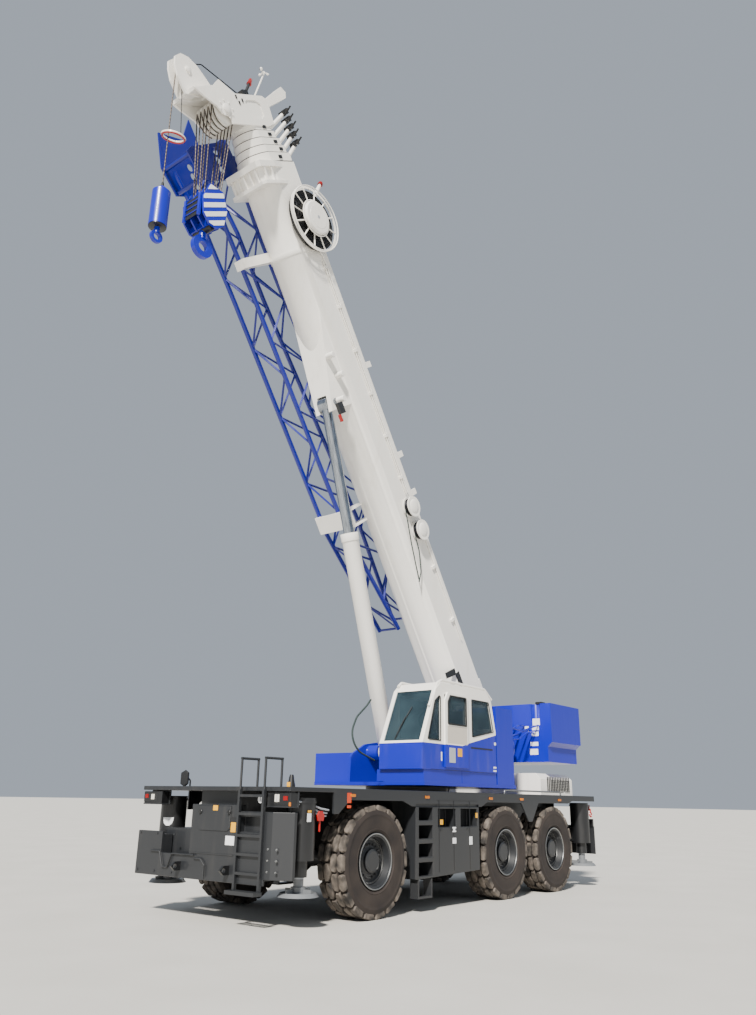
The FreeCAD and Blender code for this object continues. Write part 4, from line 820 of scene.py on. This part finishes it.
class CRANE_OT_cab(bpy.types.Operator):
    """Adds the cab's seals, visor, wiper, rails, steering wheel, labels, slots and seams"""

    bl_idname = "crane.cab"
    bl_label = "Cab fittings"

    def execute(self, context):
        side = CAB_SIDE + 0.002
        runs = []
        for outline in ([(1.09, 2.64), (1.48, 2.64), (1.26, 3.30), (1.09, 3.42)],
                        [(-0.69, 2.90), (0.06, 2.76), (0.06, 3.43), (-0.54, 3.43)]):
            runs.append([(x, side, z) for x, z in outline + outline[:1]])
        tubes("window_seals", runs, "superstructure", "black_cloth", 0.010, 0.03, "seal_rubber")
        door_y = 1.545
        outline = [(0.32, 2.93), (0.91, 2.93), (0.91, 3.31), (0.84, 3.42), (0.32, 3.42)]
        tubes("door_seal", [[(x, door_y, z) for x, z in outline + outline[:1]]], "cab_door", "black_cloth", 0.014, 0.02,
              "seal_rubber")
        tubes("roof_rail", [
            [(1.18, 0.64, 3.60), (1.05, 0.62, 3.68), (-0.60, 0.62, 3.66)],
            [(1.40, 1.47, 3.20), (1.14, 1.47, 3.62), (1.00, 1.47, 3.68), (-0.45, 1.47, 3.67), (-0.70, 1.47, 3.50)]],
            "superstructure", "white_paint", 0.024, 0.1)
        tubes("wiper", [[(1.62, 0.86, 2.56), (1.585, 0.92, 2.72), (1.47, 1.02, 3.02)],
                        [(1.52, 0.93, 2.83), (1.38, 1.10, 3.20)]], "superstructure", "black_paint", 0.009, 0.03)
        tubes("steering_wheel",
              [[(0.80 + 0.19 * math.cos(a) * 0.5, 1.04 + 0.19 * math.sin(a), 2.98 + 0.19 * math.cos(a) * 0.86)
                                  for a in (2 * math.pi * k / 24 for k in range(25))]],
              "superstructure", "black_cloth", 0.014, 0.0, "seal_rubber")
        column = Form()
        column.rod((0.86, 1.04, 2.80), (0.80, 1.04, 2.97), 0.03, 12)
        column.rod((0.76, 1.04, 2.88), (0.84, 1.04, 3.08), 0.012, 8)
        column.rod((0.80, 0.87, 2.98), (0.80, 1.21, 2.98), 0.012, 8)
        piece("steering_column", column, "superstructure", "black_cloth", "seal_rubber")
        levers = Form()
        for y in (0.80, 1.28):
            levers.block((0.20, y - 0.05, 2.60), (0.50, y + 0.05, 2.80), 0.02)
            levers.rod((0.42, y, 2.79), (0.45, y, 2.98), 0.012, 8)
            levers.dome((0.45, y, 2.97), (0, 0, 1), 0.026, 0.04, 12)
        piece("arm_consoles", levers, "superstructure", "black_cloth")
        labels("door_label_grey", [("y", DOOR_SIDE, 0.004, (0.69, 0.88), (2.28, 2.53))], "cab_door", "white_paint",
               "grey_vinyl")
        labels("door_label_yellow", [("y", DOOR_SIDE, 0.004, (0.475, 0.61), (2.39, 2.53))], "cab_door", "white_paint",
               "yellow_vinyl")
        labels("cab_marks_white",
               [("y", CAB_SIDE, 0.004, (1.05, 1.08), (2.30, 2.45)),
                ("y", CAB_SIDE, 0.004, (-0.78, -0.72), (2.66, 2.71)),
                                   ("y", CAB_SIDE, 0.004, (-0.77, -0.67), (2.24, 2.27)),
                                   ("y", CAB_SIDE, 0.004, (-0.77, -0.67), (2.18, 2.21))],
               "superstructure", "white_paint", "white_vinyl")
        dark = Form()
        dark.block((-0.65, CAB_SIDE - 0.002, 2.555), (0.11, CAB_SIDE + 0.004, 2.585), 0.002)
        dark.block((-0.70, CAB_SIDE - 0.002, 2.152), (1.40, CAB_SIDE + 0.003, 2.160), 0.001)
        piece("cab_slots", dark, "superstructure", "black_paint")
        piece("sun_visor", Form().plate([(0.70, 3.46), (1.40, 3.46), (1.36, 3.56), (0.74, 3.56)], "x", 1.10, 1.14,
                                        0.006), "superstructure", "black_cloth", "seal_rubber")
        front_seams = Form()
        front_seams.pane("x", 1.578, 1.584, (0.70, 1.44), (2.228, 2.236), 0.001)
        front_seams.pane("x", 1.588, 1.605, (0.70, 1.44), (2.50, 2.508), 0.001)
        piece("cab_front_seams", front_seams, "superstructure", "blue_paint")
        hose = context.scene.crane.hose_width / 2
        tubes("cylinder_hose",
              [[(1.42, 0.20, 3.37), (1.60, 0.25, 3.24), (1.93, 0.30, 3.02), (2.12, 0.34, 2.74), (2.05, 0.40, 2.45),
                (1.60, 0.45, 2.30)]],
              "luff_barrel", "black_paint", hose, 0.35, "hose_rubber")
        return {"FINISHED"}


class CRANE_OT_superstructure(bpy.types.Operator):
    """Adds the counterweight's labels, the hoses behind the cab, the louvres and the winch ropes"""

    bl_idname = "crane.superstructure"
    bl_label = "Superstructure fittings"

    def execute(self, context):
        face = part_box("counterweight")[1][0] - SLEW_X
        labels("counterweight_labels", [
            ("x", face, 0.004, (1.17, 1.34), (3.20, 3.34)), ("x", face, 0.004, (0.98, 1.07), (3.09, 3.19)),
            ("x", face, 0.004, (1.15, 1.31), (3.10, 3.19)), ("x", face, 0.004, (1.14, 1.30), (2.98, 3.07)),
            ("x", face, 0.004, (1.10, 1.28), (2.78, 2.86)), ("x", face, 0.004, (1.08, 1.27), (2.60, 2.72))],
            "superstructure", "white_paint", "white_vinyl")
        piece("work_lamp", Form().block((face - 0.3, 1.2, 3.645), (face - 0.1, 1.34, 3.70), 0.01), "superstructure",
              "black_paint")
        runs = []
        for k in range(7):
            y = 0.62 + 0.11 * k
            z = 3.20 - 0.08 * (k % 3)
            runs.append([(-1.46, y, z), (-1.80, y + 0.02, z - 0.14 - 0.05 * (k % 2)), (-2.30, y - 0.03, z - 0.16),
                         (-2.70, y, z - 0.05 + 0.06 * (k % 2)), (face - 0.01, y + 0.02, z)])
        tubes("blue_hoses", runs, "superstructure", "blue_paint", 0.017, 0.2)
        for name, y in (("left", 1.399), ("right", -1.412)):
            slat = Form()
            slat.block((-3.02, y, 1.88), (-2.99, y + 0.013, 2.16), 0.003)
            row("hood_slats_" + name, slat, 14, (-0.075, 0, 0), "carrier", "black_paint")
        width = context.scene.crane.rope_width
        for index, (y0, y1) in enumerate(((-0.80, -0.12), (0.12, 0.80))):
            turn = Form()
            turn.hoop((-2.30, y0 + width, 2.76), (0, 1, 0), 0.205, width / 2, 32, 8)
            row("winch_rope_%d" % index, turn, int((y1 - y0) / width) - 1, (0, width, 0), "superstructure",
                "cast_steel",
                "wire_rope")
        return {"FINISHED"}


# Cable reel's axis on the boom's left side
REEL_ALONG, REEL_UP = 10.91, 0.625


class CRANE_OT_boom(bpy.types.Operator):
    """Adds the boom's pipes, cables, reel, wear pads, lamps and marks"""

    bl_idname = "crane.boom"
    bl_label = "Boom fittings"

    def execute(self, context):
        reel = Form(boom_at)
        reel.hoop((REEL_ALONG, 0.60, REEL_UP), (0, 1, 0), 0.645, 0.013, 64, 8)
        reel.hoop((REEL_ALONG, 0.60, REEL_UP), (0, 1, 0), 0.36, 0.011, 48, 8)
        piece("reel_hoops", reel, "boom_base", "white_paint")
        hub = Form(boom_at)
        hub.turned((REEL_ALONG, 0.56, REEL_UP), (0, 1, 0),
                   [(0, 0.33), (0.02, 0.34), (0.075, 0.335), (0.10, 0.31), (0.105, 0.24)], 48)
        hub.turned((REEL_ALONG, 0.66, REEL_UP), (0, 1, 0), [(0, 0.235), (0.008, 0.23)], 40)
        piece("reel_hub", hub, "boom_base", "white_paint")
        piece("reel_centre_cap",
              Form(boom_at).turned((REEL_ALONG, 0.667, REEL_UP), (0, 1, 0), [(0, 0.035), (0.004, 0.033)], 20),
              "boom_base", "white_paint", "grey_vinyl")
        wound = Form(boom_at)
        for k in range(6):
            wound.hoop((REEL_ALONG, 0.50, REEL_UP), (0, 1, 0), 0.39 + 0.035 * k, 0.018, 64, 6)
        piece("reel_cable", wound, "boom_base", "black_paint", "dark_rope")
        for index, (along, up) in enumerate(((4.97, 0.51), (4.45, 0.535))):
            drum = Form(boom_at)
            drum.dome((along, 0.565, up), (0, 1, 0), 0.15, 0.03, 32)
            piece("drum_cap_%d" % index, drum, "boom_base", "white_paint")
            wind = Form(boom_at)
            for k in range(5):
                wind.hoop((along, 0.455 + 0.022 * k, up), (0, 1, 0), 0.165, 0.012, 40, 6)
            piece("drum_hose_%d" % index, wind, "boom_base", "black_paint", "dark_rope")
        piece("reel_lamp_body", Form(boom_at).rod((11.30, 0.42, 0.95), (11.60, 0.50, 1.30), 0.05, 16, 0.035),
              "boom_base", "white_paint")
        piece("reel_lamp_lens", Form(boom_at).dome((11.60, 0.50, 1.30), (0.62, 0.16, 0.72), 0.055, 0.09, 16),
              "boom_base", "red_paint", "red_lens")
        tubes("boom_pipes", [
            [(1.9, 0.43, 0.70), (4.2, 0.43, 0.70), (4.4, 0.43, 0.80)],
            [(5.25, 0.43, 0.66), (10.2, 0.43, 0.66), (10.3, 0.44, 0.60)],
            [(5.25, 0.43, 0.60), (10.15, 0.43, 0.60)],
            [(1.9, -0.43, 0.60), (10.1, -0.43, 0.60)]], "boom_base", "white_paint", 0.014, 0.05, None, boom_at)
        clamps = Form(boom_at)
        for along in (2.4, 3.6, 5.6, 6.5, 7.4, 8.3, 9.2, 10.0):
            clamps.block((along - 0.03, 0.405, 0.57), (along + 0.03, 0.45, 0.70), 0.006)
        piece("pipe_clamps", clamps, "boom_base", "white_paint")
        hose = context.scene.crane.hose_width / 2
        tubes("drum_hoses", [
            [(4.45, 0.45, 0.37), (4.1, 0.46, 0.30), (3.7, 0.45, 0.12), (3.55, 0.44, -0.05)],
            [(4.97, 0.45, 0.34), (4.75, 0.47, 0.25), (4.3, 0.46, 0.12), (3.6, 0.44, -0.02)]],
            "boom_base", "black_paint", hose * 0.7, 0.15, "hose_rubber", boom_at)
        plate = Form(boom_at)
        plate.plate([(1.40, 0.10), (1.50, -0.26), (1.62, -0.24), (1.54, 0.12)], "y", 0.405, 0.425, 0.006)
        plate.pane("y", 0.40, 0.414, (1.10, 1.42), (0.10, 0.24), 0.006)
        piece("foot_plate", plate, "boom_base", "black_paint")
        pins = Form(boom_at)
        for along, up in ((8.35, -0.18), (7.95, -0.10), (7.5, -0.34)):
            pins.turned((along, 0.30, up), (0, 1, 0), [(0, 0.06), (0.16, 0.06), (0.17, 0.05)], 24)
        piece("boom_pins", pins, "boom_base", "white_paint")
        piece("sensor_bracket", Form(boom_at).block((7.24, 0.36, -0.55), (7.46, 0.44, -0.40), 0.01), "boom_base",
              "grey_paint")
        piece("sensor_tag", Form(boom_at).block((7.10, 0.37, -0.60), (7.24, 0.43, -0.56), 0.01), "boom_base",
              "red_paint")
        return {"FINISHED"}


# Each telescoping section's collar: its rear end, its middle, how much narrower and lower it is than the base, its pad
COLLARS = (("two", 12.10, 12.193, 0.02, 0.03, 0.47), ("three", 12.28, 12.358, 0.07, 0.10, 0.62),
           ("four", 12.43, 12.508, 0.12, 0.17, 0.56), ("five", 12.58, 12.658, 0.17, 0.24, 0.50),
           ("six", 12.73, 12.808, 0.22, 0.31, 0.44))
BOOM_HALF, BOOM_TOP, BOOM_LOW = 0.41, 0.874, -0.149
TOP_SHARE = 0.65


def boom_outline(narrower, lower, out):
    """Section of the boom across its length: flat top, rounded shoulders and one wide arc below."""
    half = BOOM_HALF - narrower / 2 + out
    top = BOOM_TOP - lower * TOP_SHARE + out
    low = BOOM_LOW + lower * (1 - TOP_SHARE) - out
    radius, sagitta = 0.06, half * 0.75
    points = [(side * (half - radius + radius * math.sin(a)), top - radius + radius * math.cos(a))
              for side, steps in ((-1, (3, 2, 1, 0)), (1, (0, 1, 2, 3))) for a in (math.pi / 6 * k for k in steps)]
    big = (half * half + sagitta * sagitta) / (2 * sagitta)
    reach = math.atan2(half, big - sagitta)
    points += [(big * math.sin(a), low + big - big * math.cos(a)) for a in (reach - reach * k / 8 for k in range(17))]
    return points


# Wind gauge's hub, and how far its cups stand from it
GAUGE = (13.96, 0.20, 1.18)
GAUGE_ARM = 0.09


class CRANE_OT_boom_tip(bpy.types.Operator):
    """Adds the clamps on the sections' posts, the dark bands of painted shadow at the sections' joints, and the lamp,
    wind gauge, ropes and cutouts of the head
    """

    bl_idname = "crane.boom_tip"
    bl_label = "Boom tip fittings"

    def execute(self, context):
        for name, rear, collar, narrower, lower, pad_up in COLLARS:
            body = "boom_section_" + name
            # Dark band at the rear of each collar: painted shadow in the gap between two sections, drawn in the seals'
            # rubber
            gap_shadow = Form(boom_at)
            gap_shadow.plate(boom_outline(narrower, lower, 0.004), "x", rear + 0.003, rear + 0.021, 0.002)
            piece("collar_seal_" + name, gap_shadow, body, "black_paint", "seal_rubber")
            pads = Form(boom_at)
            half = BOOM_HALF - narrower / 2
            for side in (1, -1):
                y0, y1 = sorted((side * (half - 0.01), side * (half + 0.016)))
                pads.block((collar - 0.03, y0, pad_up - 0.05), (collar + 0.03, y1, pad_up + 0.05), 0.006)
            piece("collar_pads_" + name, pads, body, "black_paint")
            clamps = Form(boom_at)
            for share in (0.80, 0.93):
                along = collar + 0.4 * share
                up = 0.55 + 0.9 * share
                clamps.block((along - 0.05, 0.17, up - 0.035), (along + 0.05, 0.31, up + 0.035), 0.012)
                clamps.rod((along - 0.02, 0.28, up), (along + 0.05, 0.40, up + 0.02), 0.018, 8)
            piece("post_clamps_" + name, clamps, body, "black_paint")
        head = "boom_section_six"
        stalk = Form(boom_at)
        stalk.rod((13.50, 0.12, 0.45), (13.74, 0.12, 0.72), 0.03, 10)
        stalk.block((13.42, 0.04, 0.30), (13.56, 0.20, 0.50), 0.02)
        stalk.rod((13.975, 0.20, 1.20), (14.03, 0.20, 1.12), 0.012, 8)
        piece("lamp_stalk", stalk, head, "black_paint")
        piece("tip_lamp", Form(boom_at).rod((13.72, 0.12, 0.70), (13.83, 0.12, 0.82), 0.05, 14, 0.036), head,
              "red_paint", "red_lens")
        cups = Form(boom_at)
        for k in range(3):
            turn = 2 * math.pi * k / 3 + 0.4
            spot = (GAUGE[0] + GAUGE_ARM * math.cos(turn) * 0.57, GAUGE[1] + GAUGE_ARM * math.sin(turn),
                    GAUGE[2] - GAUGE_ARM * math.cos(turn) * 0.82)
            cups.rod(GAUGE, spot, 0.007, 6)
            cups.dome(spot, (-math.sin(turn), math.cos(turn), 0.0), 0.032, 0.032, 12)
        cups.rod((13.94, 0.20, 1.14), (13.985, 0.20, 1.205), 0.014, 10)
        piece("wind_gauge", cups, head, "white_paint")
        width = context.scene.crane.rope_width
        tubes("nose_rope", [[(13.55, 0.0, 0.46), (14.05, 0.0, -0.34), (14.0, 0.0, -0.80)]], head, "black_paint",
              width / 2,
              0.1, "dark_rope", boom_at)
        tubes("head_ropes", [[(13.02 + 0.25 * math.cos(a), y, -0.49 + 0.25 * math.sin(a)) for a in
                              (-2.9 + 0.25 * k for k in range(15))] for y in (-0.2, -0.1, 0.0, 0.1, 0.2)],
              head, "cast_steel", width / 2, 0.0, "wire_rope", boom_at)
        dark = Form(boom_at)
        for along, up in ((13.27, 0.05), (13.22, -0.06), (13.33, -0.10)):
            dark.block((along - 0.035, 0.30, up - 0.02), (along + 0.035, 0.325, up + 0.02), 0.006)
        piece("head_slots", dark, head, "black_paint")
        bolts("head_bolts", [(13.08 + 0.16 * math.cos(a), 0.318, -0.49 + 0.16 * math.sin(a)) for a in
                             (math.pi / 4 * k for k in range(8))], (0, 1, 0), head, "white_paint", 0.014, 0.02, None,
                             boom_at)
        hub = Form(boom_at)
        hub.turned((13.08, 0.31, -0.49), (0, 1, 0), [(0, 0.09), (0.03, 0.09), (0.036, 0.08)], 28)
        hub.turned((13.84, 0.10, -0.90), (0, 1, 0), [(0, 0.06), (0.03, 0.06), (0.036, 0.05)], 24)
        piece("sheave_hubs", hub, head, "white_paint")
        return {"FINISHED"}


# Axis of the head's main sheaves and the top of the hook block
HEAD_X, HEAD_Z = 6.039, 13.366
BLOCK_TOP = 11.62
# Cheek of the hook block about its sheaves' axis, a little inside its edge
CHEEK = ((0.14, 0.315), (0.262, 0.0), (0.22, -0.322), (0.086, -0.455), (-0.086, -0.455), (-0.22, -0.322), (-0.262, 0.0),
         (-0.14, 0.315))


def clipped(shape, outline):
    """Part of a convex shape inside a convex outline, both as points in one plane."""
    for (ax, ay), (bx, by) in zip(outline, outline[1:] + outline[:1]):
        kept = []
        for (px, py), (qx, qy) in zip(shape, shape[1:] + shape[:1]):
            first = (bx - ax) * (py - ay) - (by - ay) * (px - ax)
            second = (bx - ax) * (qy - ay) - (by - ay) * (qx - ax)
            if first <= 0:
                kept.append((px, py))
            if first * second < 0:
                share = first / (first - second)
                kept.append((px + (qx - px) * share, py + (qy - py) * share))
        shape = kept
        if not shape:
            break
    return shape


class CRANE_OT_hooks(bpy.types.Operator):
    """Adds the falls of rope over both hooks, the block's white bars and its dark frame"""

    bl_idname = "crane.hooks"
    bl_label = "Ropes and hooks"

    def execute(self, context):
        width = context.scene.crane.rope_width
        low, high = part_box("hook_block")
        falls = []
        for k, y in enumerate((-0.2, -0.1, 0.0, 0.1, 0.2)):
            for side in (-1, 1):
                falls.append([(HEAD_X + side * 0.25, y, HEAD_Z - 0.02),
                              (HEAD_X + side * (0.16 + 0.02 * (k % 2)), y * 0.7,
                                                                           BLOCK_TOP - 0.25)])
        tubes("hoist_falls", falls, "hook_block", "cast_steel", width / 2, 0.0, "wire_rope")
        front = high[1]
        bars = Form()
        x0, x1 = low[0] - SLEW_X + 0.02, high[0] - SLEW_X - 0.02
        middle = (x0 + x1) / 2
        cheek = [(middle + a, BLOCK_TOP - 0.31 + b) for a, b in CHEEK]
        for k in range(5):
            z = 10.62 + 0.19 * k
            bar = clipped([(x1 + 0.1, z), (x0 - 0.1, z + 0.46), (x0 - 0.1, z + 0.56), (x1 + 0.1, z + 0.10)], cheek)
            if len(bar) > 2:
                bars.plate(bar, "y", front - 0.004, front + 0.004, 0.001)
        piece("block_bars", bars, "hook_block", "white_paint", "white_vinyl")
        dark = Form()
        dark.block((x1 + 0.012, -0.16, 10.98), (x1 + 0.024, 0.16, 11.36), 0.004)
        dark.turned((6.035, 0, 10.86), (0, 1, 0), [(-0.22, 0.06), (-0.2, 0.07), (0.2, 0.07), (0.22, 0.06)], 24)
        piece("block_trunnion", dark, "hook_block", "black_paint")
        frame_bars = Form()
        for z in (11.06, 11.17, 11.28):
            frame_bars.rod((x1 + 0.03, -0.17, z), (x1 + 0.03, 0.17, z), 0.010, 8)
        for y in (-0.19, 0.19):
            frame_bars.block((x1, y - 0.025, 10.94), (x1 + 0.045, y + 0.025, 11.40), 0.008)
        piece("block_frame", frame_bars, "hook_block", "blue_paint")
        tubes("weight_ropes", [[(6.979, 0.0, 13.74), (6.952, 0.0, 11.15)]], "overhaul_weight", "cast_steel", width / 2,
              0.0,
              "wire_rope")
        piece("rope_ring", Form().hoop((6.86, 0.0, 12.29), (0.15, 0.3, 1.0), 0.19, 0.024, 40, 10), "overhaul_weight",
              "white_paint")
        piece("rope_ring_lining", Form().hoop((6.86, 0.0, 12.272), (0.15, 0.3, 1.0), 0.19, 0.018, 40, 8),
              "overhaul_weight", "red_paint")
        tubes("ring_line", [[(6.81, 0.0, 13.42), (6.72, 0.0, 12.44)]], "overhaul_weight", "black_paint", 0.008, 0.0,
              "dark_rope")
        piece("weight_foot", Form().turned((6.952, 0, 10.395), (0, 0, -1), [(0, 0.145), (0.03, 0.145), (0.04, 0.12)],
                                           32), "overhaul_weight", "black_paint")
        piece("rope_socket", Form().rod((6.952, 0, 11.10), (6.952, 0, 11.26), 0.035, 12, 0.02), "overhaul_weight",
              "black_paint")
        return {"FINISHED"}


class CRANE_OT_stage(bpy.types.Operator):
    """Adds the pale floor, the soft lights and the camera"""

    bl_idname = "crane.stage"
    bl_label = "Stage"

    def execute(self, context):
        make_floor()
        make_lights()
        make_camera()
        return {"FINISHED"}


def make_floor():
    size = 400.0
    mesh = bpy.data.meshes.new("floor")
    mesh.from_pydata([(-size, -size, 0), (size, -size, 0), (size, size, 0), (-size, size, 0)], [], [(0, 1, 2, 3)])
    floor = bpy.data.objects.new("floor", mesh)
    bpy.context.scene.collection.objects.link(floor)
    material, tree, shader, place = surface("pale_floor", 0.75)
    grain = ramp(tree, noise(tree, place, 1.5, 4.0), 0.3, 0.8)
    tree.links.new(blend_colours(tree, grain, "#C9C6BE", "#D2CFC8"), shader.inputs["Base Color"])
    floor.data.materials.append(material)


def make_lights():
    world = bpy.data.worlds.new("studio")
    bpy.context.scene.world = world
    world.use_nodes = True
    background = world.node_tree.nodes["Background"]
    background.inputs[0].default_value = linear("#D3DEEC")
    background.inputs[1].default_value = 0.6
    sun = bpy.data.lights.new("key", "SUN")
    sun.energy = 8.5
    sun.angle = math.radians(5)
    sun.color = (1.0, 0.96, 0.9)
    lamp = bpy.data.objects.new("key", sun)
    toward = Vector((-0.66, -0.30, -0.62))
    lamp.rotation_euler = toward.to_track_quat("-Z", "Y").to_euler()
    bpy.context.scene.collection.objects.link(lamp)


# The photograph's camera, found from its perspective
FOCAL_PX = 826.949
LONG_SIDE_PX = 1015
SENSOR_MM = 36.0
CAMERA_AT = (13.4218, 9.8218, 1.6517)
CAMERA_YAW = 3.8128
CAMERA_PITCH = 0.3397
CAMERA_ROLL = 0.0173


def make_camera():
    data = bpy.data.cameras.new("camera")
    data.sensor_width = SENSOR_MM
    data.lens = FOCAL_PX / LONG_SIDE_PX * SENSOR_MM
    data.clip_end = 1000.0
    camera = bpy.data.objects.new("camera", data)
    bpy.context.scene.collection.objects.link(camera)
    look = Vector((math.cos(CAMERA_PITCH) * math.cos(CAMERA_YAW), math.cos(CAMERA_PITCH) * math.sin(CAMERA_YAW),
                   math.sin(CAMERA_PITCH)))
    level = Vector((math.sin(CAMERA_YAW), -math.cos(CAMERA_YAW), 0))
    above = level.cross(look)
    right = level * math.cos(CAMERA_ROLL) + above * math.sin(CAMERA_ROLL)
    top = above * math.cos(CAMERA_ROLL) - level * math.sin(CAMERA_ROLL)
    turn = Matrix((right, top, -look)).transposed().to_4x4()
    camera.matrix_world = Matrix.Translation(at(*CAMERA_AT)) @ turn
    bpy.context.scene.camera = camera


class CRANE_PT_panel(bpy.types.Panel):
    """Lists the crane's steps in the sidebar"""

    bl_idname = "CRANE_PT_panel"
    bl_label = "Crane"
    bl_space_type = "VIEW_3D"
    bl_region_type = "UI"
    bl_category = "Crane"

    def draw(self, context):
        for operator in OPERATORS:
            self.layout.operator(operator.bl_idname)


OPERATORS = (CRANE_OT_finishes, CRANE_OT_wheels, CRANE_OT_front, CRANE_OT_sides, CRANE_OT_cab, CRANE_OT_superstructure,
             CRANE_OT_boom, CRANE_OT_boom_tip, CRANE_OT_hooks, CRANE_OT_stage)
CLASSES = (CraneDressing,) + OPERATORS + (CRANE_PT_panel,)


def register():
    for one in CLASSES:
        bpy.utils.register_class(one)
    bpy.types.Scene.crane = bpy.props.PointerProperty(type=CraneDressing)


def unregister():
    del bpy.types.Scene.crane
    for one in reversed(CLASSES):
        bpy.utils.unregister_class(one)


def main():
    register()
    for operator in OPERATORS:
        group, name = operator.bl_idname.split(".")
        getattr(getattr(bpy.ops, group), name)()


if __name__ == "__main__":
    main()
